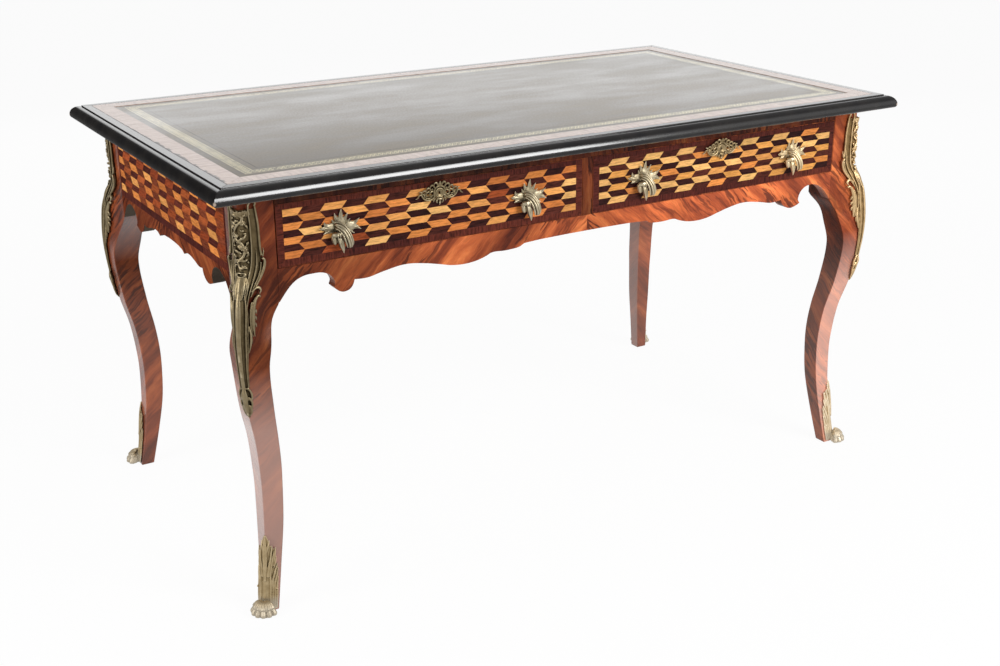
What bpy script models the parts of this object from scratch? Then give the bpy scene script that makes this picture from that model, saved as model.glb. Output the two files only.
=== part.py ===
"""Bureau plat: a flat writing table with two frieze drawers on cabriole legs.

Metres, +Z up. +X runs along the length, the front faces -Y, and the origin is on the
floor under the middle of the top. Corner pieces are drawn in the quadrant where both
coordinates grow outwards and are then set in each corner by a pair of signs.
"""

import math

import bmesh
import bpy
from mathutils import Matrix, Vector

# Whole table
TOP_LENGTH = 1.444
TOP_DEPTH = 0.806
TABLE_HEIGHT = 0.770
TOP_THICKNESS = 0.026
CARCASS_LENGTH = 1.332
CARCASS_DEPTH = 0.700
GLUE_GAP = 0.0003

# Top: ebonised moulding, crossbanded border and leather on a solid board
MOULDING_WIDTH = 0.036
FILLET_INSET = 0.020
FILLET_DROP = 0.0025
SHELF_WIDTH = 0.0035
NOSE_DROP = 0.0194
NOSE_TUCK = 0.006
OVOLO_STEPS = 7
NOSE_STEPS = 4
TONGUE_THICKNESS = 0.006
TONGUE_LENGTH = 0.008
TONGUE_DROP = 0.010
BORDER_WIDTH = 0.034
BORDER_THICKNESS = 0.003
LEATHER_THICKNESS = 0.0022

# Frieze
TOP_RAIL_HEIGHT = 0.0213
OPENING_HEIGHT = 0.1072
TOP_RAIL_DEPTH = 0.050
PANEL_THICKNESS = 0.022
DIVIDER_WIDTH = 0.022
DIVIDER_DEPTH = 0.045
POST_WIDTH = 0.061

# Mortise and tenon joints
TENON_LENGTH = 0.025
TENON_THICKNESS = 0.008
TENON_SHOULDER = 0.008
RAIL_TENON_WIDTH = 0.028
STUB_LENGTH = 0.010
ROOT = 0.006

# Apron: distance in from the carcass corner, drop below the drawers, and whether it is a cusp
APRON_SEAM_DROP = 0.0565
ARCH_AND_SPUR = (
    (0.0824, 0.0305, False),
    (0.1000, 0.0210, False),
    (0.1180, 0.0190, False),
    (0.1360, 0.0255, False),
    (0.1445, 0.0365, False),
    (0.1465, 0.0455, True),
    (0.1420, 0.0530, True),
    (0.1520, 0.0575, False),
    (0.1690, 0.0600, False),
    (0.1880, 0.0495, False),
    (0.1920, 0.0400, True),
)
ARCH_AND_NARROW_SPUR = (
    (0.0824, 0.0305, False),
    (0.1000, 0.0205, False),
    (0.1200, 0.0180, False),
    (0.1430, 0.0210, False),
    (0.1557, 0.0306, False),
    (0.1598, 0.0402, True),
    (0.1575, 0.0480, True),
    (0.1660, 0.0560, False),
    (0.1765, 0.0590, False),
    (0.1890, 0.0540, False),
    (0.1955, 0.0410, True),
)
LONG_WAVE = (
    (0.2190, 0.0420, False),
    (0.2480, 0.0365, False),
    (0.2910, 0.0310, False),
    (0.3280, 0.0355, False),
    (0.3570, 0.0420, False),
    (0.3850, 0.0485, False),
    (0.4230, 0.0492, False),
    (0.4490, 0.0435, False),
    (0.4610, 0.0387, True),
    (0.5060, 0.0387, False),
    (0.5200, 0.0370, False),
    (0.5310, 0.0320, True),
)
SHORT_WAVE = (
    (0.2080, 0.0418, False),
    (0.2300, 0.0370, False),
    (0.2560, 0.0330, False),
    (0.2740, 0.0345, False),
    (0.2840, 0.0390, True),
    (0.2950, 0.0335, True),
)
APRON_CURVE_STEPS = 3

# Leg: (height, outer corner beyond the carcass corner) and (height, inner edge inside it)
KNEE_OUTER = (
    (-0.015, 0.0000),
    (0.000, 0.0030),
    (0.030, 0.0125),
    (0.060, 0.0172),
    (0.110, 0.0207),
    (0.165, 0.0187),
    (0.240, 0.0092),
    (0.300, -0.0035),
)
ANKLE_OUTER = (
    (0.245, -0.0105),
    (0.200, -0.0112),
    (0.140, -0.0090),
    (0.080, -0.0040),
    (0.000, 0.0065),
)
KNEE_INNER = (
    (0.0830, 0.0440),
    (0.1155, 0.0360),
    (0.1600, 0.0290),
    (0.2375, 0.0355),
    (0.3000, 0.0447),
)
ANKLE_INNER = (
    (0.260, 0.0492),
    (0.200, 0.0485),
    (0.150, 0.0450),
    (0.080, 0.0345),
    (0.000, 0.0205),
)
KNEE_SQUARE_DROP = 0.105
LEG_ARRIS = 0.0025
LEG_STATION = 0.022

# Cast corner mounts: (drop below the drawers, width along each face, thickness, reach at the corner)
MOUNT_GAP = 0.0006
MOUNT_EDGE = 0.003
MOUNT_SECTIONS = (
    (-0.1200, 0.020, 0.005, 0.006),
    (-0.1130, 0.027, 0.009, 0.013),
    (-0.1020, 0.029, 0.007, 0.010),
    (-0.0850, 0.031, 0.005, 0.006),
    (-0.0550, 0.032, 0.005, 0.006),
    (-0.0330, 0.036, 0.006, 0.007),
    (-0.0150, 0.037, 0.006, 0.008),
    (0.0000, 0.034, 0.006, 0.009),
    (0.0150, 0.028, 0.006, 0.010),
    (0.0260, 0.037, 0.006, 0.011),
    (0.0360, 0.036, 0.006, 0.011),
    (APRON_SEAM_DROP, 0.025, 0.006, 0.011),
    (0.0750, 0.026, 0.006, 0.011),
    (0.0980, 0.027, 0.006, 0.011),
    (0.1060, 0.019, 0.006, 0.011),
    (0.1230, 0.015, 0.006, 0.010),
    (0.1450, 0.011, 0.006, 0.009),
    (0.1850, 0.009, 0.006, 0.008),
    (0.2000, 0.010, 0.006, 0.009),
    (0.2220, 0.009, 0.006, 0.009),
    (0.2420, 0.004, 0.004, 0.004),
)

# Sabots: (height, width along each face, edge thickness, thickness, reach of the paw at the corner)
SABOT_SECTIONS = (
    (0.0000, 0.0200, 0.0030, 0.0140, 0.0190),
    (0.0050, 0.0235, 0.0030, 0.0190, 0.0240),
    (0.0130, 0.0245, 0.0030, 0.0205, 0.0255),
    (0.0210, 0.0240, 0.0030, 0.0180, 0.0220),
    (0.0280, 0.0240, 0.0030, 0.0105, 0.0125),
    (0.0340, 0.0240, 0.0030, 0.0050, 0.0055),
    (0.0420, 0.0240, 0.0030, 0.0040, 0.0040),
    (0.0620, 0.0245, 0.0030, 0.0040, 0.0040),
    (0.0840, 0.0240, 0.0030, 0.0040, 0.0045),
    (0.0900, 0.0180, 0.0030, 0.0040, 0.0045),
    (0.1080, 0.0160, 0.0030, 0.0040, 0.0045),
    (0.1140, 0.0090, 0.0025, 0.0040, 0.0045),
    (0.1300, 0.0060, 0.0025, 0.0035, 0.0040),
    (0.1420, 0.0030, 0.0020, 0.0025, 0.0030),
)

# Drawers
DRAWER_CLEARANCE = 0.0008
DRAWER_LENGTH = 0.520
DRAWER_FRONT_THICKNESS = 0.020
DRAWER_SIDE_THICKNESS = 0.012
DRAWER_BACK_THICKNESS = 0.011
DRAWER_BOTTOM_THICKNESS = 0.007
DRAWER_SIDE_DROP = 0.007
BOTTOM_RISE = 0.006
GROOVE_DEPTH = 0.006
TAIL_COUNT = 3
TAIL_WIDTH = 0.018
TAIL_FLARE = 0.003
LAP = 0.006

# Drawer runners, kickers and stops
RUNNER_THICKNESS = 0.018
RUNNER_REACH = 0.030
GUIDE_HEIGHT = 0.016
KICKER_REACH = 0.030
STOP_LENGTH = 0.024
STOP_HEIGHT = 0.030

# Drawer locks
LOCK_WIDTH = 0.058
LOCK_HEIGHT = 0.042
LOCK_DEPTH = 0.010
BOLT_WIDTH = 0.026
BOLT_THICKNESS = 0.005
BOLT_LENGTH = 0.024
BOLT_THROW = 0.008
KEYHOLE_WIDTH = 0.005
KEYHOLE_SLOT = 0.0025
KEYHOLE_DROP = 0.009
KEYHOLE_STEPS = 10

# Handles and escutcheons
HANDLE_FROM_POST = 0.113
HANDLE_FROM_DIVIDER = 0.116
HANDLE_HEIGHT = 0.044
HANDLE_PLATE = 0.003
HANDLE_OUTLINE = (
    (0.0342, 0.0020),
    (0.0250, 0.0080),
    (0.0315, 0.0209),
    (0.0180, 0.0150),
    (0.0154, 0.0222),
    (0.0120, 0.0200),
    (0.0119, 0.0325),
    (0.0060, 0.0250),
    (0.0003, 0.0406),
    (-0.0060, 0.0250),
    (-0.0120, 0.0349),
    (-0.0125, 0.0220),
    (-0.0170, 0.0250),
    (-0.0180, 0.0150),
    (-0.0313, 0.0229),
    (-0.0270, 0.0130),
    (-0.0397, 0.0129),
    (-0.0290, 0.0070),
    (-0.0324, 0.0026),
    (-0.0220, 0.0000),
    (-0.0190, -0.0100),
    (-0.0120, -0.0150),
    (-0.0040, -0.0120),
    (0.0080, -0.0060),
    (0.0223, -0.0032),
    (0.0250, 0.0010),
)
HANDLE_STALK = (
    (-0.0190, 0.0100, 0.0000, 0.0050),
    (-0.0160, 0.0160, 0.0080, 0.0060),
    (-0.0100, 0.0165, 0.0150, 0.0070),
    (-0.0030, 0.0090, 0.0210, 0.0075),
    (0.0015, -0.0020, 0.0245, 0.0075),
    (0.0040, -0.0120, 0.0245, 0.0072),
    (0.0050, -0.0195, 0.0215, 0.0050),
)
HANDLE_BUD = (
    (-0.0138, 0.0050, 0.0000, 0.0060),
    (-0.0145, 0.0035, 0.0080, 0.0085),
    (-0.0135, -0.0060, 0.0125, 0.0095),
    (-0.0100, -0.0170, 0.0125, 0.0085),
    (-0.0065, -0.0250, 0.0115, 0.0055),
    (-0.0049, -0.0305, 0.0105, 0.0020),
)
STALK_ROUNDING = 2
ESCUTCHEON_HALF = (
    (0.000, 0.020, False),
    (0.010, 0.018, False),
    (0.016, 0.010, True),
    (0.030, 0.012, False),
    (0.047, 0.003, False),
    (0.041, -0.004, False),
    (0.030, -0.007, False),
    (0.017, -0.007, True),
    (0.010, -0.015, False),
    (0.000, -0.020, False),
)
ESCUTCHEON_THICKNESS = 0.003
ESCUTCHEON_FROM_DIVIDER = 0.297
ESCUTCHEON_HEIGHT = 0.0855
BOSS_RADIUS = 0.010
BOSS_RISE = 0.003
BOSS_SIDES = 24

# Places that follow from the sizes above
HALF_LENGTH = CARCASS_LENGTH / 2
HALF_DEPTH = CARCASS_DEPTH / 2
UNDERSIDE = TABLE_HEIGHT - TOP_THICKNESS
OPENING_TOP = UNDERSIDE - TOP_RAIL_HEIGHT
OPENING_BOTTOM = OPENING_TOP - OPENING_HEIGHT
BOARD_TOP = TABLE_HEIGHT - BORDER_THICKNESS - GLUE_GAP
POST_X = HALF_LENGTH - POST_WIDTH
POST_Y = HALF_DEPTH - POST_WIDTH
PANEL_X = HALF_LENGTH - PANEL_THICKNESS
PANEL_Y = HALF_DEPTH - PANEL_THICKNESS
APRON_END = OPENING_BOTTOM - APRON_SEAM_DROP

for leftover in list(bpy.data.objects):
    bpy.data.objects.remove(leftover, do_unlink=True)

pieces = bpy.data.collections.new("bureau_plat")
cutters = bpy.data.collections.new("bureau_plat_cutters")
bpy.context.scene.collection.children.link(pieces)
bpy.context.scene.collection.children.link(cutters)


def finish(name, colour, roughness, metallic=0.0):
    material = bpy.data.materials.new(name)
    material.use_nodes = True
    shader = material.node_tree.nodes["Principled BSDF"]
    shader.inputs["Base Color"].default_value = (*colour, 1.0)
    shader.inputs["Roughness"].default_value = roughness
    shader.inputs["Metallic"].default_value = metallic
    material.diffuse_color = (*colour, 1.0)
    return material


KINGWOOD = ("kingwood", (0.30, 0.085, 0.035), 0.25, 0.0)
PARQUETRY = ("parquetry", (0.42, 0.18, 0.06), 0.25, 0.0)
ROSEWOOD = ("rosewood_band", (0.33, 0.15, 0.10), 0.30, 0.0)
EBONISED = ("ebonised_wood", (0.012, 0.011, 0.012), 0.18, 0.0)
OAK = ("oak", (0.36, 0.24, 0.13), 0.60, 0.0)
LEATHER = ("tooled_leather", (0.035, 0.026, 0.021), 0.45, 0.0)
BRASS = ("aged_brass", (0.46, 0.36, 0.17), 0.38, 1.0)
STEEL = ("lock_steel", (0.30, 0.29, 0.28), 0.45, 1.0)


def empty(name, place, parent=None):
    marker = bpy.data.objects.new(name, None)
    marker.empty_display_size = POST_WIDTH
    marker.location = Vector(place) - (Vector(parent["place"]) if parent else Vector())
    marker["place"] = tuple(place)
    marker.parent = parent
    pieces.objects.link(marker)
    return marker


def piece(name, mesh, look, parent, origin=None):
    """A named piece, its mesh drawn in table coordinates and its origin moved to where it works."""
    place = Vector(origin if origin else parent["place"])
    mesh.transform(Matrix.Translation(-place))
    mesh.materials.append(finish(f"{name}_{look[0]}", *look[1:]))
    obj = bpy.data.objects.new(name, mesh)
    obj.location = place - Vector(parent["place"])
    obj.parent = parent
    pieces.objects.link(obj)
    return obj


def mesh_of(bm, name):
    bmesh.ops.recalc_face_normals(bm, faces=bm.faces)
    mesh = bpy.data.meshes.new(name)
    bm.to_mesh(mesh)
    bm.free()
    return mesh


def add_box(bm, low, high):
    low = Vector(low)
    high = Vector(high)
    size = Matrix.Diagonal((*(high - low), 1.0))
    bmesh.ops.create_cube(bm, size=1.0, matrix=Matrix.Translation((low + high) / 2) @ size)


def boxes(*corners):
    """A mesh of boxes, each given by its lowest and highest corner."""
    bm = bmesh.new()
    for low, high in corners:
        add_box(bm, low, high)
    return mesh_of(bm, "boxes")


def helper(mesh, name):
    obj = bpy.data.objects.new(name, mesh)
    obj.hide_render = True
    obj.display_type = "WIRE"
    cutters.objects.link(obj)
    return obj


def boolean(obj, mesh, operation):
    tool = helper(mesh, f"{obj.name}_{operation.lower()}")
    modifier = obj.modifiers.new(operation.title(), "BOOLEAN")
    modifier.operation = operation
    modifier.object = tool
    modifier.solver = "EXACT"


def cut(obj, mesh):
    boolean(obj, mesh, "DIFFERENCE")


def join(obj, mesh):
    boolean(obj, mesh, "UNION")


def prism(points, axis, low, high):
    """A closed outline in the plane across an axis, extruded along that axis."""
    bm = bmesh.new()
    turned = {
        "x": lambda u, v, w: (w, u, v),
        "y": lambda u, v, w: (u, w, v),
        "z": lambda u, v, w: (u, v, w),
    }[axis]
    face = bm.faces.new([bm.verts.new(turned(u, v, low)) for u, v in points])
    extruded = bmesh.ops.extrude_face_region(bm, geom=[face])
    moved = [item for item in extruded["geom"] if isinstance(item, bmesh.types.BMVert)]
    bmesh.ops.translate(bm, verts=moved, vec=turned(0.0, 0.0, high - low))
    return mesh_of(bm, "prism")


def smooth_outline(points, steps):
    """Points along a closed Bezier outline: smooth through each point, sharp at each cusp."""
    curve = bpy.data.curves.new("outline", "CURVE")
    curve.dimensions = "2D"
    curve.resolution_u = steps
    spline = curve.splines.new("BEZIER")
    spline.bezier_points.add(len(points) - 1)
    spline.use_cyclic_u = True
    for knot, (u, v, sharp) in zip(spline.bezier_points, points):
        knot.co = (u, v, 0.0)
        kind = "VECTOR" if sharp else "AUTO"
        knot.handle_left_type = kind
        knot.handle_right_type = kind
    guide = bpy.data.objects.new("outline", curve)
    cutters.objects.link(guide)
    bpy.context.view_layer.update()
    drawn = guide.evaluated_get(bpy.context.evaluated_depsgraph_get()).to_mesh()
    path = [(vertex.co.x, vertex.co.y) for vertex in drawn.vertices]
    bpy.data.objects.remove(guide)
    return path


def through(knots, at):
    """A smooth curve through (place, value) knots in rising order of place, read at one place."""
    last = len(knots) - 1
    if at <= knots[0][0]:
        return knots[0][1]
    if at >= knots[last][0]:
        return knots[last][1]
    index = max(i for i in range(last) if knots[i][0] <= at)

    def slope(i):
        before = knots[max(i - 1, 0)]
        after = knots[min(i + 1, last)]
        return (after[1] - before[1]) / (after[0] - before[0])

    (a, start), (b, end) = knots[index], knots[index + 1]
    span = b - a
    t = (at - a) / span
    return (
        (2 * t**3 - 3 * t**2 + 1) * start
        + (t**3 - 2 * t**2 + t) * span * slope(index)
        + (3 * t**2 - 2 * t**3) * end
        + (t**3 - t**2) * span * slope(index + 1)
    )


def turning(ring):
    """Positive where a ring of points runs anticlockwise seen from above."""
    return sum(a[0] * b[1] - b[0] * a[1] for a, b in zip(ring, ring[1:] + ring[:1]))


def loft(rings):
    """A closed skin through rings of equally many points, capped at both ends.

    Each four-sided facet folds along its inner diagonal, so a casting and the leg that
    it lies on draw away from each other between their shared sections.
    """
    bm = bmesh.new()
    loops = [[bm.verts.new(point) for point in ring] for ring in rings]
    handed = turning(rings[0]) * (rings[-1][0][2] - rings[0][0][2])
    count = len(loops[0])
    for near, far in zip(loops, loops[1:]):
        for i in range(count):
            a, b, c, d = near[i], near[(i + 1) % count], far[(i + 1) % count], far[i]
            outward = (b.co - a.co).cross(d.co - a.co) * handed
            if (a.co + c.co - b.co - d.co).dot(outward) > 0:
                halves = ((a, b, d), (b, c, d))
            else:
                halves = ((a, b, c), (a, c, d))
            for half in halves:
                bm.faces.new(half)
    bm.faces.new(loops[0])
    bm.faces.new(loops[-1])
    return mesh_of(bm, "loft")


def from_top(knots):
    return [(OPENING_BOTTOM - drop, *rest) for drop, *rest in knots]


OUTER_CURVE = sorted(from_top(KNEE_OUTER) + list(ANKLE_OUTER))
INNER_CURVE = sorted(
    from_top(((APRON_SEAM_DROP, POST_WIDTH),)) + from_top(KNEE_INNER) + list(ANKLE_INNER)
)


def leg_corners(height):
    """The leg's section at a height: outer, front inner, inner and side inner corners."""
    outer = through(OUTER_CURVE, height)
    inner = through(INNER_CURVE, height)
    square = OPENING_BOTTOM - KNEE_SQUARE_DROP
    flush = min(max((APRON_END - height) / (APRON_END - square), 0.0), 1.0)
    face = outer * flush * flush * (3 - 2 * flush)
    return (
        Vector((HALF_LENGTH + outer, HALF_DEPTH + outer)),
        Vector((HALF_LENGTH - inner, HALF_DEPTH + face)),
        Vector((HALF_LENGTH - inner, HALF_DEPTH - inner)),
        Vector((HALF_LENGTH + face, HALF_DEPTH - inner)),
    )


def chamfered(corners, size):
    ring = []
    for i, corner in enumerate(corners):
        before = corners[i - 1]
        after = corners[(i + 1) % len(corners)]
        ring.append(corner + (before - corner).normalized() * size)
        ring.append(corner + (after - corner).normalized() * size)
    return ring


def heights(low, high, step):
    count = max(round((high - low) / step), 1)
    return [low + (high - low) * i / count for i in range(count + 1)]


# The legs have a section wherever a casting has one, so that castings lie close on their faces
MOUNT_HEIGHTS = sorted(height for height, *_ in from_top(MOUNT_SECTIONS))
SABOT_HEIGHTS = [height for height, *_ in SABOT_SECTIONS]
LEG_HEIGHTS = SABOT_HEIGHTS + heights(SABOT_HEIGHTS[-1], MOUNT_HEIGHTS[0], LEG_STATION)[1:]
LEG_HEIGHTS += MOUNT_HEIGHTS[1:] + [UNDERSIDE - GLUE_GAP]


def placed(ring, height, signs):
    return [(point.x * signs[0], point.y * signs[1], height) for point in ring]


def leg_mesh(signs):
    return loft([placed(chamfered(leg_corners(h), LEG_ARRIS), h, signs) for h in LEG_HEIGHTS])


def grown(low, high, by):
    return tuple(value - by for value in low), tuple(value + by for value in high)


def signed(low, high, signs):
    """A box drawn in the outward quadrant, set in the corner that the signs name."""
    xs = sorted((low[0] * signs[0], high[0] * signs[0]))
    ys = sorted((low[1] * signs[1], high[1] * signs[1]))
    return (xs[0], ys[0], low[2]), (xs[1], ys[1], high[2])


TENON_LOW = APRON_END + TENON_SHOULDER
PANEL_TENON_TOP = UNDERSIDE - TENON_SHOULDER
APRON_TENON_TOP = OPENING_BOTTOM - TENON_SHOULDER


def long_tenon(top, root):
    """Tenon of a front or back panel into a post, with its root buried in the panel."""
    middle = HALF_DEPTH - PANEL_THICKNESS / 2
    return (
        (POST_X - root, middle - TENON_THICKNESS / 2, TENON_LOW),
        (POST_X + TENON_LENGTH, middle + TENON_THICKNESS / 2, top),
    )


def short_tenon(root):
    """Tenon of a side panel into a post."""
    middle = HALF_LENGTH - PANEL_THICKNESS / 2
    return (
        (middle - TENON_THICKNESS / 2, POST_Y - root, TENON_LOW),
        (middle + TENON_THICKNESS / 2, POST_Y + TENON_LENGTH, PANEL_TENON_TOP),
    )


def rail_tenon(root):
    """Flat tenon of the rail above the drawers."""
    middle = (OPENING_TOP + UNDERSIDE) / 2
    return (
        (POST_X - root, HALF_DEPTH - TENON_SHOULDER - RAIL_TENON_WIDTH, middle - TENON_THICKNESS / 2),
        (POST_X + TENON_LENGTH, HALF_DEPTH - TENON_SHOULDER, middle + TENON_THICKNESS / 2),
    )


CORNERS = {
    "front_left": (-1, -1),
    "front_right": (1, -1),
    "back_left": (-1, 1),
    "back_right": (1, 1),
}

table = empty("bureau_plat", (0.0, 0.0, 0.0))


# Cabriole legs, square in section, with the posts at their heads mortised for the frieze
def build_leg(corner, signs):
    leg = piece(f"leg_{corner}", leg_mesh(signs), KINGWOOD, table)
    mortises = [short_tenon(0.0)]
    if signs[1] < 0:
        mortises += [long_tenon(APRON_TENON_TOP, 0.0), rail_tenon(0.0)]
    else:
        mortises += [long_tenon(PANEL_TENON_TOP, 0.0)]
    cut(leg, boxes(*(signed(*grown(*tenon, GLUE_GAP), signs) for tenon in mortises)))


for corner, signs in CORNERS.items():
    build_leg(corner, signs)


# Frieze: shaped aprons and panels between the posts
def half_apron(half, shape, top):
    """One half of an apron's outline: down the post from its straight top edge, then the shaped edge."""
    seam = half - POST_WIDTH - GLUE_GAP
    shaped = [(half - inset, OPENING_BOTTOM - drop, sharp) for inset, drop, sharp in shape]
    return [(seam, top, True), (seam, APRON_END, True)] + shaped


def apron_outline(half, wave, top, far_end=ARCH_AND_SPUR):
    """Outline of an apron between its posts, with the same wave but its own spur at each end."""
    near = half_apron(half, ARCH_AND_SPUR + wave, top)
    far = half_apron(half, far_end + wave, top)
    return smooth_outline(near + [(-u, v, sharp) for u, v, sharp in reversed(far)], APRON_CURVE_STEPS)


def mirrored_boxes(box, axis):
    flips = ((1, 1), (-1, 1)) if axis == "x" else ((1, 1), (1, -1))
    return [signed(*box, flip) for flip in flips]


PANEL_TOP = UNDERSIDE - GLUE_GAP

front_apron = piece(
    "front_apron_rail",
    prism(
        apron_outline(HALF_LENGTH, LONG_WAVE, OPENING_BOTTOM, ARCH_AND_NARROW_SPUR),
        "y",
        -HALF_DEPTH,
        -PANEL_Y,
    ),
    KINGWOOD,
    table,
)
apron_tenons = [signed(*box, (1, -1)) for box in mirrored_boxes(long_tenon(APRON_TENON_TOP, ROOT), "x")]
join(front_apron, boxes(*apron_tenons))

back_panel = piece(
    "back_frieze_panel",
    prism(apron_outline(HALF_LENGTH, LONG_WAVE, PANEL_TOP), "y", PANEL_Y, HALF_DEPTH),
    PARQUETRY,
    table,
)
join(back_panel, boxes(*mirrored_boxes(long_tenon(PANEL_TENON_TOP, ROOT), "x")))

for side, sign in (("left", -1), ("right", 1)):
    inner, outer = sorted((sign * PANEL_X, sign * HALF_LENGTH))
    side_panel = piece(
        f"{side}_frieze_panel",
        prism(apron_outline(HALF_DEPTH, SHORT_WAVE, PANEL_TOP), "x", inner, outer),
        PARQUETRY,
        table,
    )
    tenons = [signed(*box, (sign, 1)) for box in mirrored_boxes(short_tenon(ROOT), "y")]
    join(side_panel, boxes(*tenons))

# Rail above the drawers, and the upright between them with a stub tenon at each end
RAIL_BACK = -HALF_DEPTH + TOP_RAIL_DEPTH
DIVIDER_BACK = -HALF_DEPTH + DIVIDER_DEPTH
RAIL_END = POST_X - GLUE_GAP

top_rail = piece(
    "front_top_rail",
    boxes(((-RAIL_END, -HALF_DEPTH, OPENING_TOP), (RAIL_END, RAIL_BACK, PANEL_TOP))),
    KINGWOOD,
    table,
)
rail_tenons = [signed(*box, (1, -1)) for box in mirrored_boxes(rail_tenon(ROOT), "x")]
join(top_rail, boxes(*rail_tenons))

STUB_HALF = DIVIDER_WIDTH / 2 - TENON_SHOULDER / 2
STUB_FRONT = -HALF_DEPTH + TENON_SHOULDER
APRON_STUB = (
    (-STUB_HALF, STUB_FRONT, OPENING_BOTTOM - STUB_LENGTH),
    (STUB_HALF, STUB_FRONT + TENON_THICKNESS, OPENING_BOTTOM + ROOT),
)
RAIL_STUB = (
    (-STUB_HALF, STUB_FRONT, OPENING_TOP - ROOT),
    (STUB_HALF, STUB_FRONT + TENON_THICKNESS, OPENING_TOP + STUB_LENGTH),
)

divider = piece(
    "drawer_divider",
    boxes(
        (
            (-DIVIDER_WIDTH / 2, -HALF_DEPTH, OPENING_BOTTOM + GLUE_GAP),
            (DIVIDER_WIDTH / 2, DIVIDER_BACK, OPENING_TOP - GLUE_GAP),
        )
    ),
    KINGWOOD,
    table,
)
join(divider, boxes(APRON_STUB, RAIL_STUB))
cut(front_apron, boxes(grown(*APRON_STUB, GLUE_GAP)))
cut(top_rail, boxes(grown(*RAIL_STUB, GLUE_GAP)))

# Runners under the drawers with a guide beside each drawer, kickers above, and stops behind
RUNNER_LOW = OPENING_BOTTOM - RUNNER_THICKNESS
RUNNER_FRONT = -PANEL_Y + GLUE_GAP
RUNNER_BACK = PANEL_Y - GLUE_GAP
BETWEEN_POSTS = POST_Y - GLUE_GAP
SIDE_WALL = PANEL_X - GLUE_GAP
GUIDE_X = POST_X + GLUE_GAP
GUIDE_TOP = OPENING_BOTTOM + GUIDE_HEIGHT
KICKER_LOW = OPENING_TOP
KICKER_FRONT = RAIL_BACK + GLUE_GAP


def around_posts(sign, reach, front):
    """Plan of a bearer against a side wall, notched round the posts."""
    inner = sign * (POST_X - reach)
    shoulder = sign * (POST_X - GLUE_GAP)
    wall = sign * SIDE_WALL
    return [
        (inner, front),
        (shoulder, front),
        (shoulder, -BETWEEN_POSTS),
        (wall, -BETWEEN_POSTS),
        (wall, BETWEEN_POSTS),
        (shoulder, BETWEEN_POSTS),
        (shoulder, RUNNER_BACK),
        (inner, RUNNER_BACK),
    ]


DRAWER_BACK_Y = -HALF_DEPTH + DRAWER_LENGTH
for side, sign in (("left", -1), ("right", 1)):
    runner = piece(
        f"{side}_drawer_runner",
        prism(around_posts(sign, RUNNER_REACH, RUNNER_FRONT), "z", RUNNER_LOW, OPENING_BOTTOM),
        OAK,
        table,
    )
    guide = signed(
        (GUIDE_X, -BETWEEN_POSTS + ROOT, OPENING_BOTTOM - ROOT),
        (SIDE_WALL - ROOT, BETWEEN_POSTS - ROOT, GUIDE_TOP),
        (sign, 1),
    )
    join(runner, boxes(guide))
    piece(
        f"{side}_drawer_kicker",
        prism(around_posts(sign, KICKER_REACH, KICKER_FRONT), "z", KICKER_LOW, PANEL_TOP),
        OAK,
        table,
    )
    stop_inner = POST_X - RUNNER_REACH + ROOT
    piece(
        f"{side}_drawer_stop",
        boxes(
            signed(
                (stop_inner, DRAWER_BACK_Y + GLUE_GAP, OPENING_BOTTOM + GLUE_GAP),
                (RAIL_END - ROOT, DRAWER_BACK_Y + STOP_LENGTH, OPENING_BOTTOM + STOP_HEIGHT),
                (sign, 1),
            )
        ),
        OAK,
        table,
    )

CENTRE_REACH = DIVIDER_WIDTH / 2 + RUNNER_REACH
centre_runner = piece(
    "centre_drawer_runner",
    boxes(((-CENTRE_REACH, RUNNER_FRONT, RUNNER_LOW), (CENTRE_REACH, RUNNER_BACK, OPENING_BOTTOM))),
    OAK,
    table,
)
guide_half = DIVIDER_WIDTH / 2
join(
    centre_runner,
    boxes(
        (
            (-guide_half, DIVIDER_BACK + GLUE_GAP, OPENING_BOTTOM - ROOT),
            (guide_half, RUNNER_BACK - ROOT, GUIDE_TOP),
        )
    ),
)
piece(
    "centre_drawer_kicker",
    boxes(((-CENTRE_REACH, KICKER_FRONT, KICKER_LOW), (CENTRE_REACH, RUNNER_BACK, PANEL_TOP))),
    OAK,
    table,
)


# Top: board with a tongue all round, mitred mouldings, mitred crossbanding and leather
FIELD_X = TOP_LENGTH / 2 - MOULDING_WIDTH
FIELD_Y = TOP_DEPTH / 2 - MOULDING_WIDTH
TONGUE_TOP = TABLE_HEIGHT - TONGUE_DROP
TONGUE_LOW = TONGUE_TOP - TONGUE_THICKNESS

board_x = FIELD_X - GLUE_GAP
board_y = FIELD_Y - GLUE_GAP
top_board = piece(
    "top_board",
    boxes(((-board_x, -board_y, UNDERSIDE), (board_x, board_y, BOARD_TOP))),
    OAK,
    table,
)
tongue_x = FIELD_X + TONGUE_LENGTH - GLUE_GAP
tongue_y = FIELD_Y + TONGUE_LENGTH - GLUE_GAP
tongue_inset = ROOT + TONGUE_LENGTH
TONGUES = (
    (
        (-tongue_x, -board_y + tongue_inset, TONGUE_LOW + GLUE_GAP),
        (tongue_x, board_y - tongue_inset, TONGUE_TOP - GLUE_GAP),
    ),
    (
        (-board_x + tongue_inset, -tongue_y, TONGUE_LOW + GLUE_GAP),
        (board_x - tongue_inset, tongue_y, TONGUE_TOP - GLUE_GAP),
    ),
)
for tongue in TONGUES:
    join(top_board, boxes(tongue))


def arc(centre, radii, start, end, steps):
    turn = [math.radians(start + (end - start) * i / steps) for i in range(steps + 1)]
    return [(centre[0] + radii[0] * math.cos(a), centre[1] + radii[1] * math.sin(a)) for a in turn]


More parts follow.
